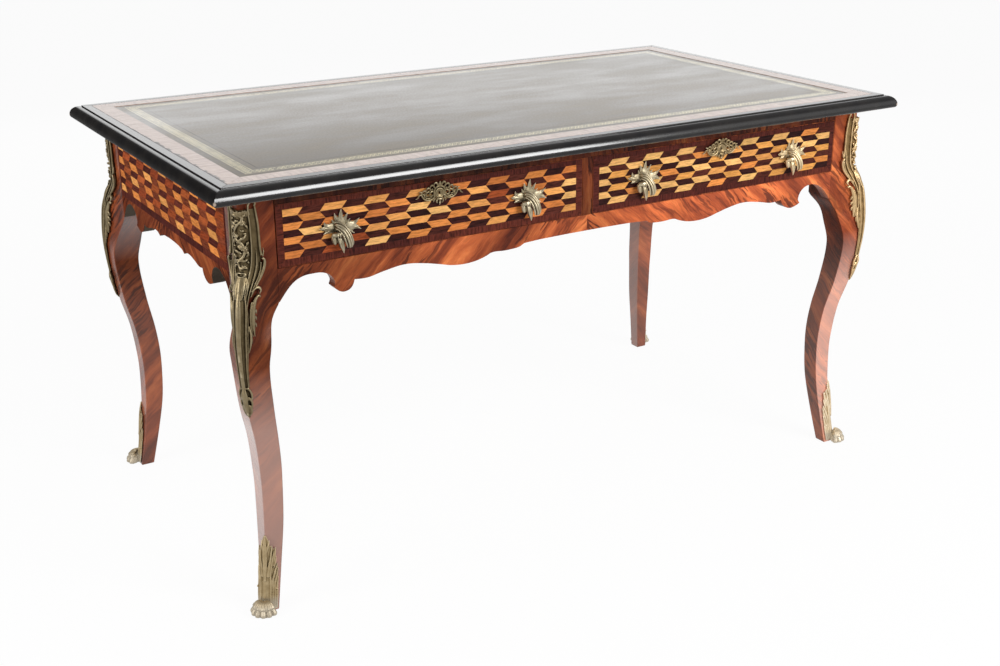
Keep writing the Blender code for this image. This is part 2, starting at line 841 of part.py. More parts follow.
def moulding_profile():
    """Section of the moulding: inset from the table's edge, and height."""
    shelf = TABLE_HEIGHT - FILLET_DROP
    nose = TABLE_HEIGHT - NOSE_DROP
    round_width = FILLET_INSET - SHELF_WIDTH
    ovolo = arc((round_width, nose), (-round_width, shelf - nose), 90, 0, OVOLO_STEPS)
    tuck = arc((NOSE_TUCK, nose), (-NOSE_TUCK, UNDERSIDE - nose), 0, 90, NOSE_STEPS)
    groove = MOULDING_WIDTH - TONGUE_LENGTH
    return [
        (MOULDING_WIDTH, TABLE_HEIGHT),
        (FILLET_INSET, TABLE_HEIGHT),
        (FILLET_INSET, shelf),
        *ovolo,
        *tuck[1:],
        (MOULDING_WIDTH, UNDERSIDE),
        (MOULDING_WIDTH, TONGUE_LOW),
        (groove, TONGUE_LOW),
        (groove, TONGUE_TOP),
        (MOULDING_WIDTH, TONGUE_TOP),
    ]


def mitred(profile, half_run, half_across, turn):
    """A length of moulding along one edge, mitred at both ends and turned to its side of the table."""
    bm = bmesh.new()
    ends = []
    for sign in (-1, 1):
        ends.append(
            [
                bm.verts.new((sign * (half_run - inset - GLUE_GAP / 2), inset - half_across, height))
                for inset, height in profile
            ]
        )
    count = len(profile)
    for i in range(count):
        j = (i + 1) % count
        bm.faces.new((ends[0][i], ends[0][j], ends[1][j], ends[1][i]))
    bm.faces.new(ends[0])
    bm.faces.new(ends[1])
    bmesh.ops.rotate(bm, verts=bm.verts, cent=(0, 0, 0), matrix=Matrix.Rotation(math.radians(turn), 3, "Z"))
    return mesh_of(bm, "mitred")


def band_profile():
    low = BOARD_TOP + GLUE_GAP
    outer = MOULDING_WIDTH + GLUE_GAP
    inner = MOULDING_WIDTH + BORDER_WIDTH
    return [(outer, low), (outer, TABLE_HEIGHT), (inner, TABLE_HEIGHT), (inner, low)]


for edge, turn in (("front", 0), ("right", 90), ("back", 180), ("left", 270)):
    half_run, half_across = TOP_LENGTH / 2, TOP_DEPTH / 2
    if turn % 180:
        half_run, half_across = half_across, half_run
    piece(f"moulding_{edge}", mitred(moulding_profile(), half_run, half_across, turn), EBONISED, table)
    piece(f"crossband_{edge}", mitred(band_profile(), half_run, half_across, turn), ROSEWOOD, table)

leather_x = FIELD_X - BORDER_WIDTH - GLUE_GAP
leather_y = FIELD_Y - BORDER_WIDTH - GLUE_GAP
leather_low = BOARD_TOP + GLUE_GAP
piece(
    "writing_leather",
    boxes(((-leather_x, -leather_y, leather_low), (leather_x, leather_y, leather_low + LEATHER_THICKNESS))),
    LEATHER,
    table,
)


# Cast mounts that wrap the outer corner of each leg, on both faces
def wrapped(height, width, edge, thickness, corner_reach):
    """Section of a casting on the leg's outer corner: its back against both faces, then its front."""
    outer, front, _, side = leg_corners(height)
    along_front = (front - outer).normalized()
    along_side = (side - outer).normalized()
    out_front = Vector((-along_front.y, along_front.x))
    out_side = Vector((along_side.y, -along_side.x))
    out_front *= 1 if out_front.y > 0 else -1
    out_side *= 1 if out_side.x > 0 else -1
    diagonal = (out_front + out_side).normalized()
    reach = max(width, 2 * LEG_ARRIS)

    def on_front(along, off):
        return outer + along_front * along + out_front * off

    def on_side(along, off):
        return outer + along_side * along + out_side * off

    middle = reach / 2 + LEG_ARRIS / 2
    return [
        on_front(reach, MOUNT_GAP),
        on_front(LEG_ARRIS, MOUNT_GAP),
        on_side(LEG_ARRIS, MOUNT_GAP),
        on_side(reach, MOUNT_GAP),
        on_side(reach, edge),
        on_side(middle, thickness),
        outer + diagonal * corner_reach + along_side * LEG_ARRIS,
        outer + diagonal * corner_reach + along_front * LEG_ARRIS,
        on_front(middle, thickness),
        on_front(reach, edge),
    ]


def corner_mount_mesh(signs):
    rings = [
        placed(wrapped(height, width, MOUNT_EDGE, thickness, reach), height, signs)
        for height, width, thickness, reach in from_top(MOUNT_SECTIONS)
    ]
    return loft(rings)


def sabot_mesh(signs):
    return loft([placed(wrapped(*section), section[0], signs) for section in SABOT_SECTIONS])


for corner, signs in CORNERS.items():
    piece(f"corner_mount_{corner}", corner_mount_mesh(signs), BRASS, table)
    piece(f"sabot_{corner}", sabot_mesh(signs), BRASS, table)

# Drawers: fronts lapped over dovetailed sides, backs dovetailed through, bottoms in grooves
DRAWER_LOW = OPENING_BOTTOM + DRAWER_CLEARANCE
DRAWER_HIGH = OPENING_TOP - DRAWER_CLEARANCE
SIDE_LOW = OPENING_BOTTOM + GLUE_GAP
SIDE_HIGH = OPENING_TOP - DRAWER_SIDE_DROP
FRONT_Y = -HALF_DEPTH
FRONT_BACK = FRONT_Y + DRAWER_FRONT_THICKNESS
TAIL_FRONT = FRONT_Y + LAP
BACK_INNER = DRAWER_BACK_Y - DRAWER_BACK_THICKNESS
BOTTOM_LOW = SIDE_LOW + BOTTOM_RISE
BOTTOM_HIGH = BOTTOM_LOW + DRAWER_BOTTOM_THICKNESS
BACK_LOW = BOTTOM_HIGH + GLUE_GAP
LOCK_LOW = DRAWER_HIGH - LOCK_HEIGHT
BOLT_Y = FRONT_BACK - LOCK_DEPTH / 2


def tail_middles(low, high):
    pitch = (high - low) / TAIL_COUNT
    return [low + pitch * (i + 0.5) for i in range(TAIL_COUNT)]


FRONT_TAILS = tail_middles(SIDE_LOW, SIDE_HIGH)
BACK_TAILS = tail_middles(BACK_LOW, SIDE_HIGH)


def tail(middle, root, tip, gap=0.0, before=0.0, beyond=0.0):
    """Outline of a dovetail in the plane of the drawer side: (along the drawer, height).

    A socket's cutter has the same slopes, wider by a gap and running past both ends.
    """
    direction = math.copysign(1.0, tip - root)
    slope = TAIL_FLARE / abs(tip - root)
    near = TAIL_WIDTH / 2 + gap - slope * before
    far = TAIL_WIDTH / 2 + gap + TAIL_FLARE + slope * beyond
    start = root - before * direction
    end = tip + beyond * direction
    return [(start, middle - near), (end, middle - far), (end, middle + far), (start, middle + near)]


FRONT_ROOT = FRONT_BACK + GLUE_GAP
BACK_ROOT = BACK_INNER - GLUE_GAP


def drawer_side_outline():
    """A drawer side: its straight edges, with tails into the front and through the back."""
    outline = [(FRONT_ROOT, SIDE_LOW), (BACK_ROOT, SIDE_LOW)]
    for middle in BACK_TAILS:
        outline += tail(middle, BACK_ROOT, DRAWER_BACK_Y)
    outline += [(BACK_ROOT, SIDE_HIGH), (FRONT_ROOT, SIDE_HIGH)]
    for middle in reversed(FRONT_TAILS):
        outline += reversed(tail(middle, FRONT_ROOT, TAIL_FRONT))
    return outline


def merged(meshes):
    bm = bmesh.new()
    for mesh in meshes:
        bm.from_mesh(mesh)
    return mesh_of(bm, "merged")


def sockets(tails, outside, inside):
    """Cutter for the sockets that take the tails, from the end of the board inwards."""
    low, high = sorted((outside, inside + math.copysign(GLUE_GAP, inside - outside)))
    return merged([prism(outline, "x", low, high) for outline in tails])


def front_sockets(outside, inside):
    tails = [tail(middle, FRONT_ROOT, TAIL_FRONT, GLUE_GAP, ROOT, GLUE_GAP) for middle in FRONT_TAILS]
    return sockets(tails, outside, inside)


def back_sockets(outside, inside):
    tails = [tail(middle, BACK_ROOT, DRAWER_BACK_Y, GLUE_GAP, ROOT, ROOT) for middle in BACK_TAILS]
    return sockets(tails, outside, inside)


def keyhole(x, height, front, back):
    """Cutter for a keyhole: a round eye over a straight slot."""
    radius = KEYHOLE_WIDTH / 2
    half_slot = KEYHOLE_SLOT / 2
    mouth = math.degrees(math.asin(half_slot / radius))
    eye = arc((x, height), (radius, radius), mouth - 90, 270 - mouth, KEYHOLE_STEPS)
    foot = height - KEYHOLE_DROP
    return prism(eye + [(x - half_slot, foot), (x + half_slot, foot)], "y", front, back)


def build_drawer(side, sign):
    near = DIVIDER_WIDTH / 2 + DRAWER_CLEARANCE
    far = POST_X - DRAWER_CLEARANCE
    left, right = sorted((sign * near, sign * far))
    lock_x = sign * (DIVIDER_WIDTH / 2 + ESCUTCHEON_FROM_DIVIDER)
    slide = empty(f"{side}_drawer_slide", ((left + right) / 2, FRONT_Y, OPENING_BOTTOM), table)
    inner_left = left + DRAWER_SIDE_THICKNESS
    inner_right = right - DRAWER_SIDE_THICKNESS
    past = ROOT

    front = piece(
        f"{side}_drawer_front",
        boxes(((left, FRONT_Y, DRAWER_LOW), (right, FRONT_BACK, DRAWER_HIGH))),
        PARQUETRY,
        slide,
    )
    ends = ((left - past, inner_left), (right + past, inner_right))
    for outside, inside in ends:
        cut(front, front_sockets(outside, inside))
    groove_left = inner_left - GROOVE_DEPTH
    groove_right = inner_right + GROOVE_DEPTH
    cut(
        front,
        boxes(
            (
                (groove_left, FRONT_BACK - GROOVE_DEPTH, BOTTOM_LOW - GLUE_GAP),
                (groove_right, FRONT_BACK + past, BOTTOM_HIGH + GLUE_GAP),
            )
        ),
    )
    lock_half = LOCK_WIDTH / 2
    cut(
        front,
        boxes(
            (
                (lock_x - lock_half - GLUE_GAP, FRONT_BACK - LOCK_DEPTH - GLUE_GAP, LOCK_LOW - GLUE_GAP),
                (lock_x + lock_half + GLUE_GAP, FRONT_BACK + past, DRAWER_HIGH + past),
            )
        ),
    )
    key_height = OPENING_BOTTOM + ESCUTCHEON_HEIGHT
    cut(front, keyhole(lock_x, key_height, FRONT_Y - past, FRONT_BACK - LOCK_DEPTH + past))

    for hand, low, high, groove in (
        ("left", left, inner_left, groove_left),
        ("right", inner_right, right, groove_right),
    ):
        board = piece(
            f"{side}_drawer_{hand}_side",
            prism(drawer_side_outline(), "x", low, high),
            OAK,
            slide,
        )
        inside = inner_left + past if hand == "left" else inner_right - past
        groove_low, groove_high = sorted((groove, inside))
        cut(
            board,
            boxes(
                (
                    (groove_low, FRONT_BACK - past, BOTTOM_LOW - GLUE_GAP),
                    (groove_high, DRAWER_BACK_Y + past, BOTTOM_HIGH + GLUE_GAP),
                )
            ),
        )

    back = piece(
        f"{side}_drawer_back",
        boxes(((left, BACK_INNER, BACK_LOW), (right, DRAWER_BACK_Y, SIDE_HIGH))),
        OAK,
        slide,
    )
    for outside, inside in ends:
        cut(back, back_sockets(outside, inside))

    bottom_left = groove_left + GLUE_GAP
    bottom_right = groove_right - GLUE_GAP
    piece(
        f"{side}_drawer_bottom",
        boxes(
            (
                (bottom_left, FRONT_BACK - GROOVE_DEPTH + GLUE_GAP, BOTTOM_LOW),
                (bottom_right, DRAWER_BACK_Y, BOTTOM_HIGH),
            )
        ),
        OAK,
        slide,
    )

    build_lock(side, lock_x, key_height, slide)
    build_escutcheon(side, lock_x, key_height, slide)
    handle_xs = sorted(
        (
            sign * (DIVIDER_WIDTH / 2 + HANDLE_FROM_DIVIDER),
            sign * (POST_X - HANDLE_FROM_POST),
        )
    )
    for hand, x in zip(("left", "right"), handle_xs):
        build_handle(f"{side}_drawer_{hand}_handle", x, slide)


# Locks: a case let into the back of the drawer front, and a bolt that rises into the rail
def build_lock(side, x, key_height, slide):
    half = LOCK_WIDTH / 2
    case = piece(
        f"{side}_lock_case",
        boxes(((x - half, FRONT_BACK - LOCK_DEPTH, LOCK_LOW), (x + half, FRONT_BACK, DRAWER_HIGH))),
        STEEL,
        slide,
    )
    bolt_top = DRAWER_HIGH - GLUE_GAP
    bolt_box = (
        (x - BOLT_WIDTH / 2, BOLT_Y - BOLT_THICKNESS / 2, bolt_top - BOLT_LENGTH),
        (x + BOLT_WIDTH / 2, BOLT_Y + BOLT_THICKNESS / 2, bolt_top),
    )
    slot_low, slot_high = grown(*bolt_box, GLUE_GAP)
    cut(case, boxes((slot_low, (*slot_high[:2], DRAWER_HIGH + ROOT))))
    cut(case, keyhole(x, key_height, FRONT_Y, BOLT_Y))
    bolt_origin = (x, BOLT_Y, bolt_top)
    axis = empty(f"{side}_lock_bolt_slide", bolt_origin, slide)
    piece(f"{side}_lock_bolt", boxes(bolt_box), STEEL, axis)
    keep_low, keep_high = grown(*bolt_box, DRAWER_CLEARANCE)
    keep_end = bolt_top + BOLT_THROW + GLUE_GAP
    cut(top_rail, boxes(((*keep_low[:2], OPENING_TOP - ROOT), (*keep_high[:2], keep_end))))


# Escutcheons: a scrolled cartouche with a raised boss round the keyhole
def build_escutcheon(side, x, key_height, slide):
    right = list(ESCUTCHEON_HALF)
    left = [(-u, v, sharp) for u, v, sharp in reversed(right[1:-1])]
    outline = [(x + u, key_height + v) for u, v in smooth_outline(right + left, APRON_CURVE_STEPS)]
    back = FRONT_Y - GLUE_GAP
    front = back - ESCUTCHEON_THICKNESS
    plate = piece(f"{side}_drawer_escutcheon", prism(outline, "y", front, back), BRASS, slide)
    last_side = 360 - 360 / BOSS_SIDES
    rim = arc((x, key_height), (BOSS_RADIUS, BOSS_RADIUS), 0, last_side, BOSS_SIDES - 1)
    join(plate, prism(rim, "y", front - BOSS_RISE, back - ESCUTCHEON_THICKNESS / 2))
    cut(plate, keyhole(x, key_height, front - BOSS_RISE - ROOT, back + ROOT))


# Handles: a plate of pointed leaves with a curled stalk and a hanging bud, all four the same hand
def build_handle(name, x, slide):
    height = OPENING_BOTTOM + HANDLE_HEIGHT
    back = FRONT_Y - GLUE_GAP
    front = back - HANDLE_PLATE
    outline = [(x + u, height + v) for u, v in HANDLE_OUTLINE]
    plate = piece(name, prism(outline, "y", front, back), BRASS, slide)
    join(plate, stalk_mesh(HANDLE_BUD, x, height, front))
    join(plate, stalk_mesh(HANDLE_STALK, x, height, front))


def stalk_mesh(knots, x, height, root_y):
    """A round stalk through (across, up, out, radius) knots, closed at both ends."""
    curve = bpy.data.curves.new("stalk", "CURVE")
    curve.dimensions = "3D"
    curve.bevel_depth = 1.0
    curve.bevel_resolution = STALK_ROUNDING
    curve.use_fill_caps = True
    spline = curve.splines.new("POLY")
    spline.points.add(len(knots) - 1)
    for point, (u, v, out, radius) in zip(spline.points, knots):
        point.co = (x + u, root_y - out, height + v, 1.0)
        point.radius = radius
    guide = bpy.data.objects.new("stalk", curve)
    cutters.objects.link(guide)
    bpy.context.view_layer.update()
    drawn = bpy.data.meshes.new_from_object(guide.evaluated_get(bpy.context.evaluated_depsgraph_get()))
    bpy.data.objects.remove(guide)
    bm = bmesh.new()
    bm.from_mesh(drawn)
    bmesh.ops.remove_doubles(bm, verts=bm.verts, dist=GLUE_GAP / 10)
    return mesh_of(bm, "stalk")


for side, sign in (("left", -1), ("right", 1)):
    build_drawer(side, sign)
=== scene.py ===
"""A bureau plat in kingwood and parquetry with cast brass mounts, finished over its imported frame."""
import random
from math import cos, pi, radians, sin

import bmesh
import bpy
from mathutils import Matrix, Vector


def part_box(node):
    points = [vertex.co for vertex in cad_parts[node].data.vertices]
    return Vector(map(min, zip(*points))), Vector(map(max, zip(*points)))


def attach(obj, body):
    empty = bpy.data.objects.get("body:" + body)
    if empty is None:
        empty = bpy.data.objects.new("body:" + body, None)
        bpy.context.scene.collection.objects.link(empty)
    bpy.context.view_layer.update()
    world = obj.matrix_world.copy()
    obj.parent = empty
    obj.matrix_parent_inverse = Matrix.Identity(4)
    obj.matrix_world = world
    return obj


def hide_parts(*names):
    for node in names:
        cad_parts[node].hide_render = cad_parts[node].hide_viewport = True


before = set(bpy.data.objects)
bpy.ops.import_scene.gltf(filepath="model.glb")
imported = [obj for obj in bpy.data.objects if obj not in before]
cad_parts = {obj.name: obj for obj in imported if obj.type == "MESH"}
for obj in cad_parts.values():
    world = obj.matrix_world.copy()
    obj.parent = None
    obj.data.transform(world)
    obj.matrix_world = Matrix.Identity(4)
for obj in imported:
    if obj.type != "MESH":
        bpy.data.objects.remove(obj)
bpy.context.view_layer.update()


# Legs
# Each cabriole leg is one length of beech: a square post at the head that takes the rails, a knee that
# swells under the frieze, then a slim ankle. All faces are veneered in kingwood and French polished.
HALF_LENGTH = -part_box("left_frieze_panel")[0].x
HALF_DEPTH = -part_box("front_top_rail")[0].y
POST_WIDTH = 0.061
APRON_END = 0.559
KNEE_SQUARE = 0.475
LEG_ARRIS = 0.0022
MERGE = 0.00001
CORNERS = (("front_left", -1, -1), ("front_right", 1, -1), ("back_left", -1, 1), ("back_right", 1, 1))
# Height, then how far the outer faces stand beyond the corner of the frieze
LEG_OUTSIDE = (
    (0.0, 0.0065), (0.080, -0.0040), (0.140, -0.0090), (0.200, -0.0112), (0.245, -0.0105),
    (0.3155, -0.0035), (0.3755, 0.0092), (0.4505, 0.0187), (0.5055, 0.0207), (0.5555, 0.0172),
    (0.5855, 0.0125), (0.6155, 0.0030), (0.6305, 0.0),
)
# Height, then how far the inner faces stand inside that corner
LEG_INSIDE = (
    (0.0, 0.0205), (0.080, 0.0345), (0.150, 0.0450), (0.200, 0.0485), (0.260, 0.0492), (0.3155, 0.0447),
    (0.378, 0.0355), (0.4555, 0.0290), (0.500, 0.0360), (0.5325, 0.0440), (APRON_END, POST_WIDTH),
)
FACE_STEPS = 14
INNER_STEPS = 6
LEG_STEPS = 110
GRAIN_LEAN = radians(44)
GRAIN_WANDER = 0.028
DARK_STREAK = (0.040, 0.010, 0.007, 1.0)
# Pale pink mixed into the lower legs as a painted sheen
PAINTED_SHEEN_WOOD = (0.72, 0.42, 0.335, 1.0)
# Grey-brown painted on the edge faces of boards as shade
SHADED_EDGE_WOOD = (0.085, 0.070, 0.055, 1.0)
END_BOARD = 0.03
# Spans over which a tone changes: of a face's direction, of the depth and of the right part of the length
TURNED_IN = (-0.8, -0.3)
MID_DEPTH = (-0.1, 0.1)
RIGHT_PART = (-0.2, HALF_LENGTH)


def through(knots, at):
    """A smooth curve through (place, value) knots in rising order of place, read at one place."""
    last = len(knots) - 1
    if at <= knots[0][0]:
        return knots[0][1]
    if at >= knots[last][0]:
        return knots[last][1]
    index = max(i for i in range(last) if knots[i][0] <= at)

    def slope(i):
        before = knots[max(i - 1, 0)]
        after = knots[min(i + 1, last)]
        return (after[1] - before[1]) / (after[0] - before[0])

    (a, start), (b, end) = knots[index], knots[index + 1]
    span = b - a
    t = (at - a) / span
    return (
        (2 * t**3 - 3 * t**2 + 1) * start
        + (t**3 - 2 * t**2 + t) * span * slope(index)
        + (3 * t**2 - 2 * t**3) * end
        + (t**3 - t**2) * span * slope(index + 1)
    )


def eased(t):
    """Runs from 0 to 1 with a soft start and a soft end."""
    t = min(max(t, 0.0), 1.0)
    return t * t * (3 - 2 * t)


def face_swell(inward, height):
    """How far an outer face of the leg stands proud of the frieze, at a distance in from its corner."""
    outside = through(LEG_OUTSIDE, height)
    inside = through(LEG_INSIDE, height)
    edge = outside * eased((APRON_END - height) / (APRON_END - KNEE_SQUARE))
    across = (inward + outside) / (inside + outside)
    return outside + (edge - outside) * eased(across)


def leg_section(u, height):
    """A point round the leg at a height, as distances in from the corner, along the table and across."""
    outside = through(LEG_OUTSIDE, height)
    inside = through(LEG_INSIDE, height)
    edge = face_swell(inside, height)
    step = u * 2 * (FACE_STEPS + INNER_STEPS)
    if step <= FACE_STEPS:
        inward = -outside + (inside + outside) * step / FACE_STEPS
        return inward, -face_swell(inward, height)
    step -= FACE_STEPS
    if step <= INNER_STEPS:
        return inside, -edge + (inside + edge) * step / INNER_STEPS
    step -= INNER_STEPS
    if step <= INNER_STEPS:
        return inside - (inside + edge) * step / INNER_STEPS, inside
    step -= INNER_STEPS
    inward = inside - (inside + outside) * step / FACE_STEPS
    return -face_swell(inward, height), inward


def only(piece):
    """Leaves one object selected and active."""
    bpy.ops.object.select_all(action="DESELECT")
    piece.select_set(True)
    bpy.context.view_layer.objects.active = piece


def edit(selected=None):
    """Goes into edit mode, with all of the piece selected or none of it where the call says so."""
    bpy.ops.object.mode_set(mode="EDIT")
    if selected:
        bpy.ops.mesh.select_all(action=selected)


def leave_edit():
    bpy.ops.object.mode_set(mode="OBJECT")


def rolled(name, around, along, place):
    """A grid rolled into a closed skin: place(u, v) gives each point, u round the skin and v along it."""
    bpy.ops.object.select_all(action="DESELECT")
    bpy.ops.mesh.primitive_grid_add(x_subdivisions=around, y_subdivisions=along, size=1)
    skin = bpy.context.object
    skin.name = skin.data.name = name
    for point in skin.data.vertices:
        point.co = place(point.co.x + 0.5, point.co.y + 0.5)
    edit("SELECT")
    bpy.ops.mesh.remove_doubles(threshold=MERGE)
    bpy.ops.mesh.fill_holes(sides=0)
    bpy.ops.mesh.select_all(action="SELECT")
    bpy.ops.mesh.normals_make_consistent(inside=False)
    leave_edit()
    return skin


def linked(name, data):
    """A new object in the scene, with the mesh, curve, lamp or lens given."""
    piece = bpy.data.objects.new(name, data)
    bpy.context.collection.objects.link(piece)
    return piece


def in_corner(piece, name, x_side, y_side):
    """A copy of a piece of the front left corner, turned over into another corner."""
    twin = linked(name, piece.data.copy())
    twin.data.transform(Matrix.Diagonal((-x_side, -y_side, 1.0, 1.0)))
    if x_side != y_side:
        twin.data.flip_normals()
    return twin


def settle(piece, body, slot, finish, *nodes):
    """Gives a piece its finish and body, and hides the nodes that it replaces; its slot is not used."""
    piece.data.materials.clear()
    piece.data.materials.append(finish)
    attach(piece, body)
    if nodes:
        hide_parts(*nodes)
    return piece


def new_finish(name, **values):
    """A material with one shader, its plain values set on the shader's own sockets."""
    finish = bpy.data.materials.new(name)
    finish.use_nodes = True
    shader = finish.node_tree.nodes["Principled BSDF"]
    for socket, value in values.items():
        shader.inputs[socket.replace("_", " ")].default_value = value
    return finish


def wire(tree, kind, *feeds, **settings):
    """Adds a node to a node tree and feeds its inputs, in order, with values or with other nodes."""
    node = tree.nodes.new("ShaderNode" + kind)
    for setting, value in settings.items():
        setattr(node, setting, value)
    for socket, feed in zip(node.inputs, feeds):
        if isinstance(feed, bpy.types.Node):
            feed = feed.outputs[0]
        if isinstance(feed, bpy.types.NodeSocket):
            tree.links.new(feed, socket)
        elif feed is not None:
            socket.default_value = feed
    return node


def tree_of(*feeds):
    """The node tree that the first node among the feeds stands in."""
    return next(feed.id_data for feed in feeds if isinstance(feed, (bpy.types.Node, bpy.types.NodeSocket)))


def reckon(operation, *feeds):
    """A sum on numbers and nodes."""
    return wire(tree_of(*feeds), "Math", *feeds, operation=operation)


def times(*feeds):
    return reckon("MULTIPLY", *feeds)


def plus(*feeds):
    return reckon("ADD", *feeds)


def less(*feeds):
    return reckon("SUBTRACT", *feeds)


def size_of(feed):
    return reckon("ABSOLUTE", feed)


def graded(feed, start, end, low, high):
    """Goes from low to high, and no further, as the feed goes from start to end."""
    return wire(tree_of(feed), "MapRange", feed, start, end, low, high)


def ramp(feed, *stops):
    """Colours or greys by position, between the stops given."""
    node = wire(tree_of(feed), "ValToRGB", feed)
    elements = node.color_ramp.elements
    while len(elements) < len(stops):
        elements.new(0.5)
    for element, (position, colour) in zip(elements, stops):
        element.position = position
        element.color = (*colour, 1.0) if isinstance(colour, tuple) else (colour, colour, colour, 1.0)
    return node


def noise(place, scale, detail, roughness=0.5, distortion=0.0):
    """Cloudy noise over a place, with the usual lacunarity, offset and gain."""
    values = (None, scale, detail, roughness, 2.0, 0.0, 1.0, distortion)
    return wire(tree_of(place), "TexNoise", place, *values)


def mixed(share, first, second):
    """The first colour with a share of the second laid over it."""
    return wire(tree_of(share, first), "MixRGB", share, first, second)


def shaded(colour, shade, share=1.0):
    """A colour darkened, or lightened past one, by a shade."""
    return wire(tree_of(colour), "MixRGB", share, colour, shade, blend_type="MULTIPLY")


def bumped(height, strength, distance):
    return wire(tree_of(height), "Bump", strength, distance, None, height)


def place_on(finish):
    """Where a point lies on the piece."""
    return wire(finish.node_tree, "TexCoord").outputs["Object"]


def stretched(place, scale):
    return wire(tree_of(place), "Mapping", place, None, None, scale)


def split(place):
    """The x, y and z of a place or a direction."""
    return wire(tree_of(place), "SeparateXYZ", place).outputs


def facing_of(finish):
    """The direction that a surface faces."""
    return split(wire(finish.node_tree, "NewGeometry").outputs["Normal"])


def paint(finish, **feeds):
    """Links nodes to the sockets of a finish's shader."""
    shader = finish.node_tree.nodes["Principled BSDF"]
    for socket, feed in feeds.items():
        finish.node_tree.links.new(feed.outputs[0], shader.inputs[socket.replace("_", " ")])


def kingwood_finish(name, lean, leg_sheen_and_shade=False, tone=1.0, gloss=1.18, shaded_edges=False):
    """Polished kingwood: dark figure leaning across each face, book-matched about the table's middle lines.

    The wood is paler towards the right end, partly by fading and partly as painted light, and darker on
    faces turned inwards, the more so towards the back, which is painted shade. On the legs the lower parts
    get a pale painted sheen and the inner faces of the knees painted shade, while the calves and knees keep
    their gloss. The edge faces of a board can be painted dark as shade.
    """
    finish = new_finish(name, IOR=gloss, Coat_Roughness=0.06, Coat_IOR=2.0)
    whole = place_on(finish)
    x, y, z = split(whole)
    from_middle = plus(size_of(x), size_of(y))
    straight = plus(times(from_middle, sin(lean)), times(z, cos(lean)))
    across = plus(straight, times(noise(whole, 11.0, 3.0), GRAIN_WANDER))
    along = less(times(z, sin(lean)), times(from_middle, cos(lean)))
    leaf = plus(times(reckon("SIGN", x), 0.31), times(reckon("SIGN", y), 0.77))
    grown = wire(finish.node_tree, "CombineXYZ", across, times(along, 0.12), leaf)
    fibre = wire(finish.node_tree, "CombineXYZ", across, times(along, 0.03), leaf)
    figure = noise(grown, 30.0, 8.0, 0.66, 0.45)
    pores = noise(fibre, 1500.0, 2.0, 0.6)
    colour = ramp(
        figure,
        (0.32, (0.068, 0.0145, 0.008)), (0.46, (0.170, 0.036, 0.014)),
        (0.58, (0.32, 0.077, 0.025)), (0.74, (0.53, 0.172, 0.054)),
    )
    stripes = ramp(noise(grown, 170.0, 3.0), (0.53, 0.0), (0.57, 1.0))
    patches = ramp(noise(grown, 9.0, 2.0), (0.45, 0.0), (0.60, 0.85))
    colour = mixed(times(stripes, patches), colour, DARK_STREAK)
    colour = shaded(colour, ramp(pores, (0.30, 0.45), (0.62, 1.0)), 0.55)
    colour = shaded(colour, ramp(noise(whole, 4.5, 2.0), (0.36, 0.50 * tone), (0.58, tone)))
    turned, towards, _ = facing_of(finish)
    outward = times(turned, reckon("SIGN", x))
    inward = times(towards, reckon("SIGN", y))
    rightward = graded(x, -HALF_LENGTH, HALF_LENGTH, 0.0, 1.0)
    # Paler towards the right end: partly fading of the wood, partly painted light.
    lit_and_paler_rightward = ramp(rightward, (0.0, 0.80), (0.36, 1.0), (0.46, 1.55), (0.70, 1.80), (1.0, 1.65))
    # Painted shade: faces turned inwards are darker, the more so towards the back.
    inner_shade = graded(y, *MID_DEPTH, 0.42, 0.80)
    colour = shaded(colour, times(lit_and_paler_rightward, graded(outward, *TURNED_IN, inner_shade, 1.0)))
    if shaded_edges:
        # Painted shade: the edge faces of a board are darkened.
        at_end = reckon("GREATER_THAN", size_of(x), HALF_LENGTH - END_BOARD)
        flat = graded(at_end, 0.0, 1.0, size_of(towards), size_of(turned))
        colour = mixed(graded(flat, 0.3, 0.6, 1.0, 0.0), colour, SHADED_EDGE_WOOD)
    if leg_sheen_and_shade:
        # Painted sheen: the lower legs are mixed towards a pale pink, most on the front legs and towards the
        # right.
        sunk = less(z, graded(x, *RIGHT_PART, 0.0, 0.03))
        low = graded(sunk, 0.46, 0.34, 0.0, 1.0)
        low = times(low, graded(y, *MID_DEPTH, 1.0, 0.25))
        low = times(low, graded(outward, *TURNED_IN, graded(y, *MID_DEPTH, 0.2, 2.5), 1.0))
        colour = mixed(times(low, graded(x, *RIGHT_PART, 0.40, 0.60)), colour, PAINTED_SHEEN_WOOD)
        # Painted shade: the inner faces of the legs are darker from the knees up.
        knee_shade = graded(z, 0.35, 0.45, 1.1, 0.58)
        colour = shaded(colour, graded(inward, *TURNED_IN, knee_shade, 1.0))
        calf_gloss = times(low, graded(turned, -0.9, -0.5, 1.0, 0.4))
        knee_gloss = times(graded(inward, *TURNED_IN, 0.95, 0.0), graded(z, 0.46, 0.53, 0.0, 1.0))
        paint(finish, Coat_Weight=reckon("MAXIMUM", calf_gloss, knee_gloss))
    paint(finish, Base_Color=colour, Roughness=ramp(pores, (0.25, 0.40), (0.65, 0.22)))
    paint(finish, Normal=bumped(pores, 0.05, 0.0002))
    return finish


leg_low, leg_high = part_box("leg_front_left")
kingwood = kingwood_finish("kingwood", GRAIN_LEAN, leg_sheen_and_shade=True, tone=1.35)


def leg_place(u, v):
    height = leg_low.z + (leg_high.z - leg_low.z) * v
    along_table, across_table = leg_section(u, height)
    return (along_table - HALF_LENGTH, across_table - HALF_DEPTH, height)


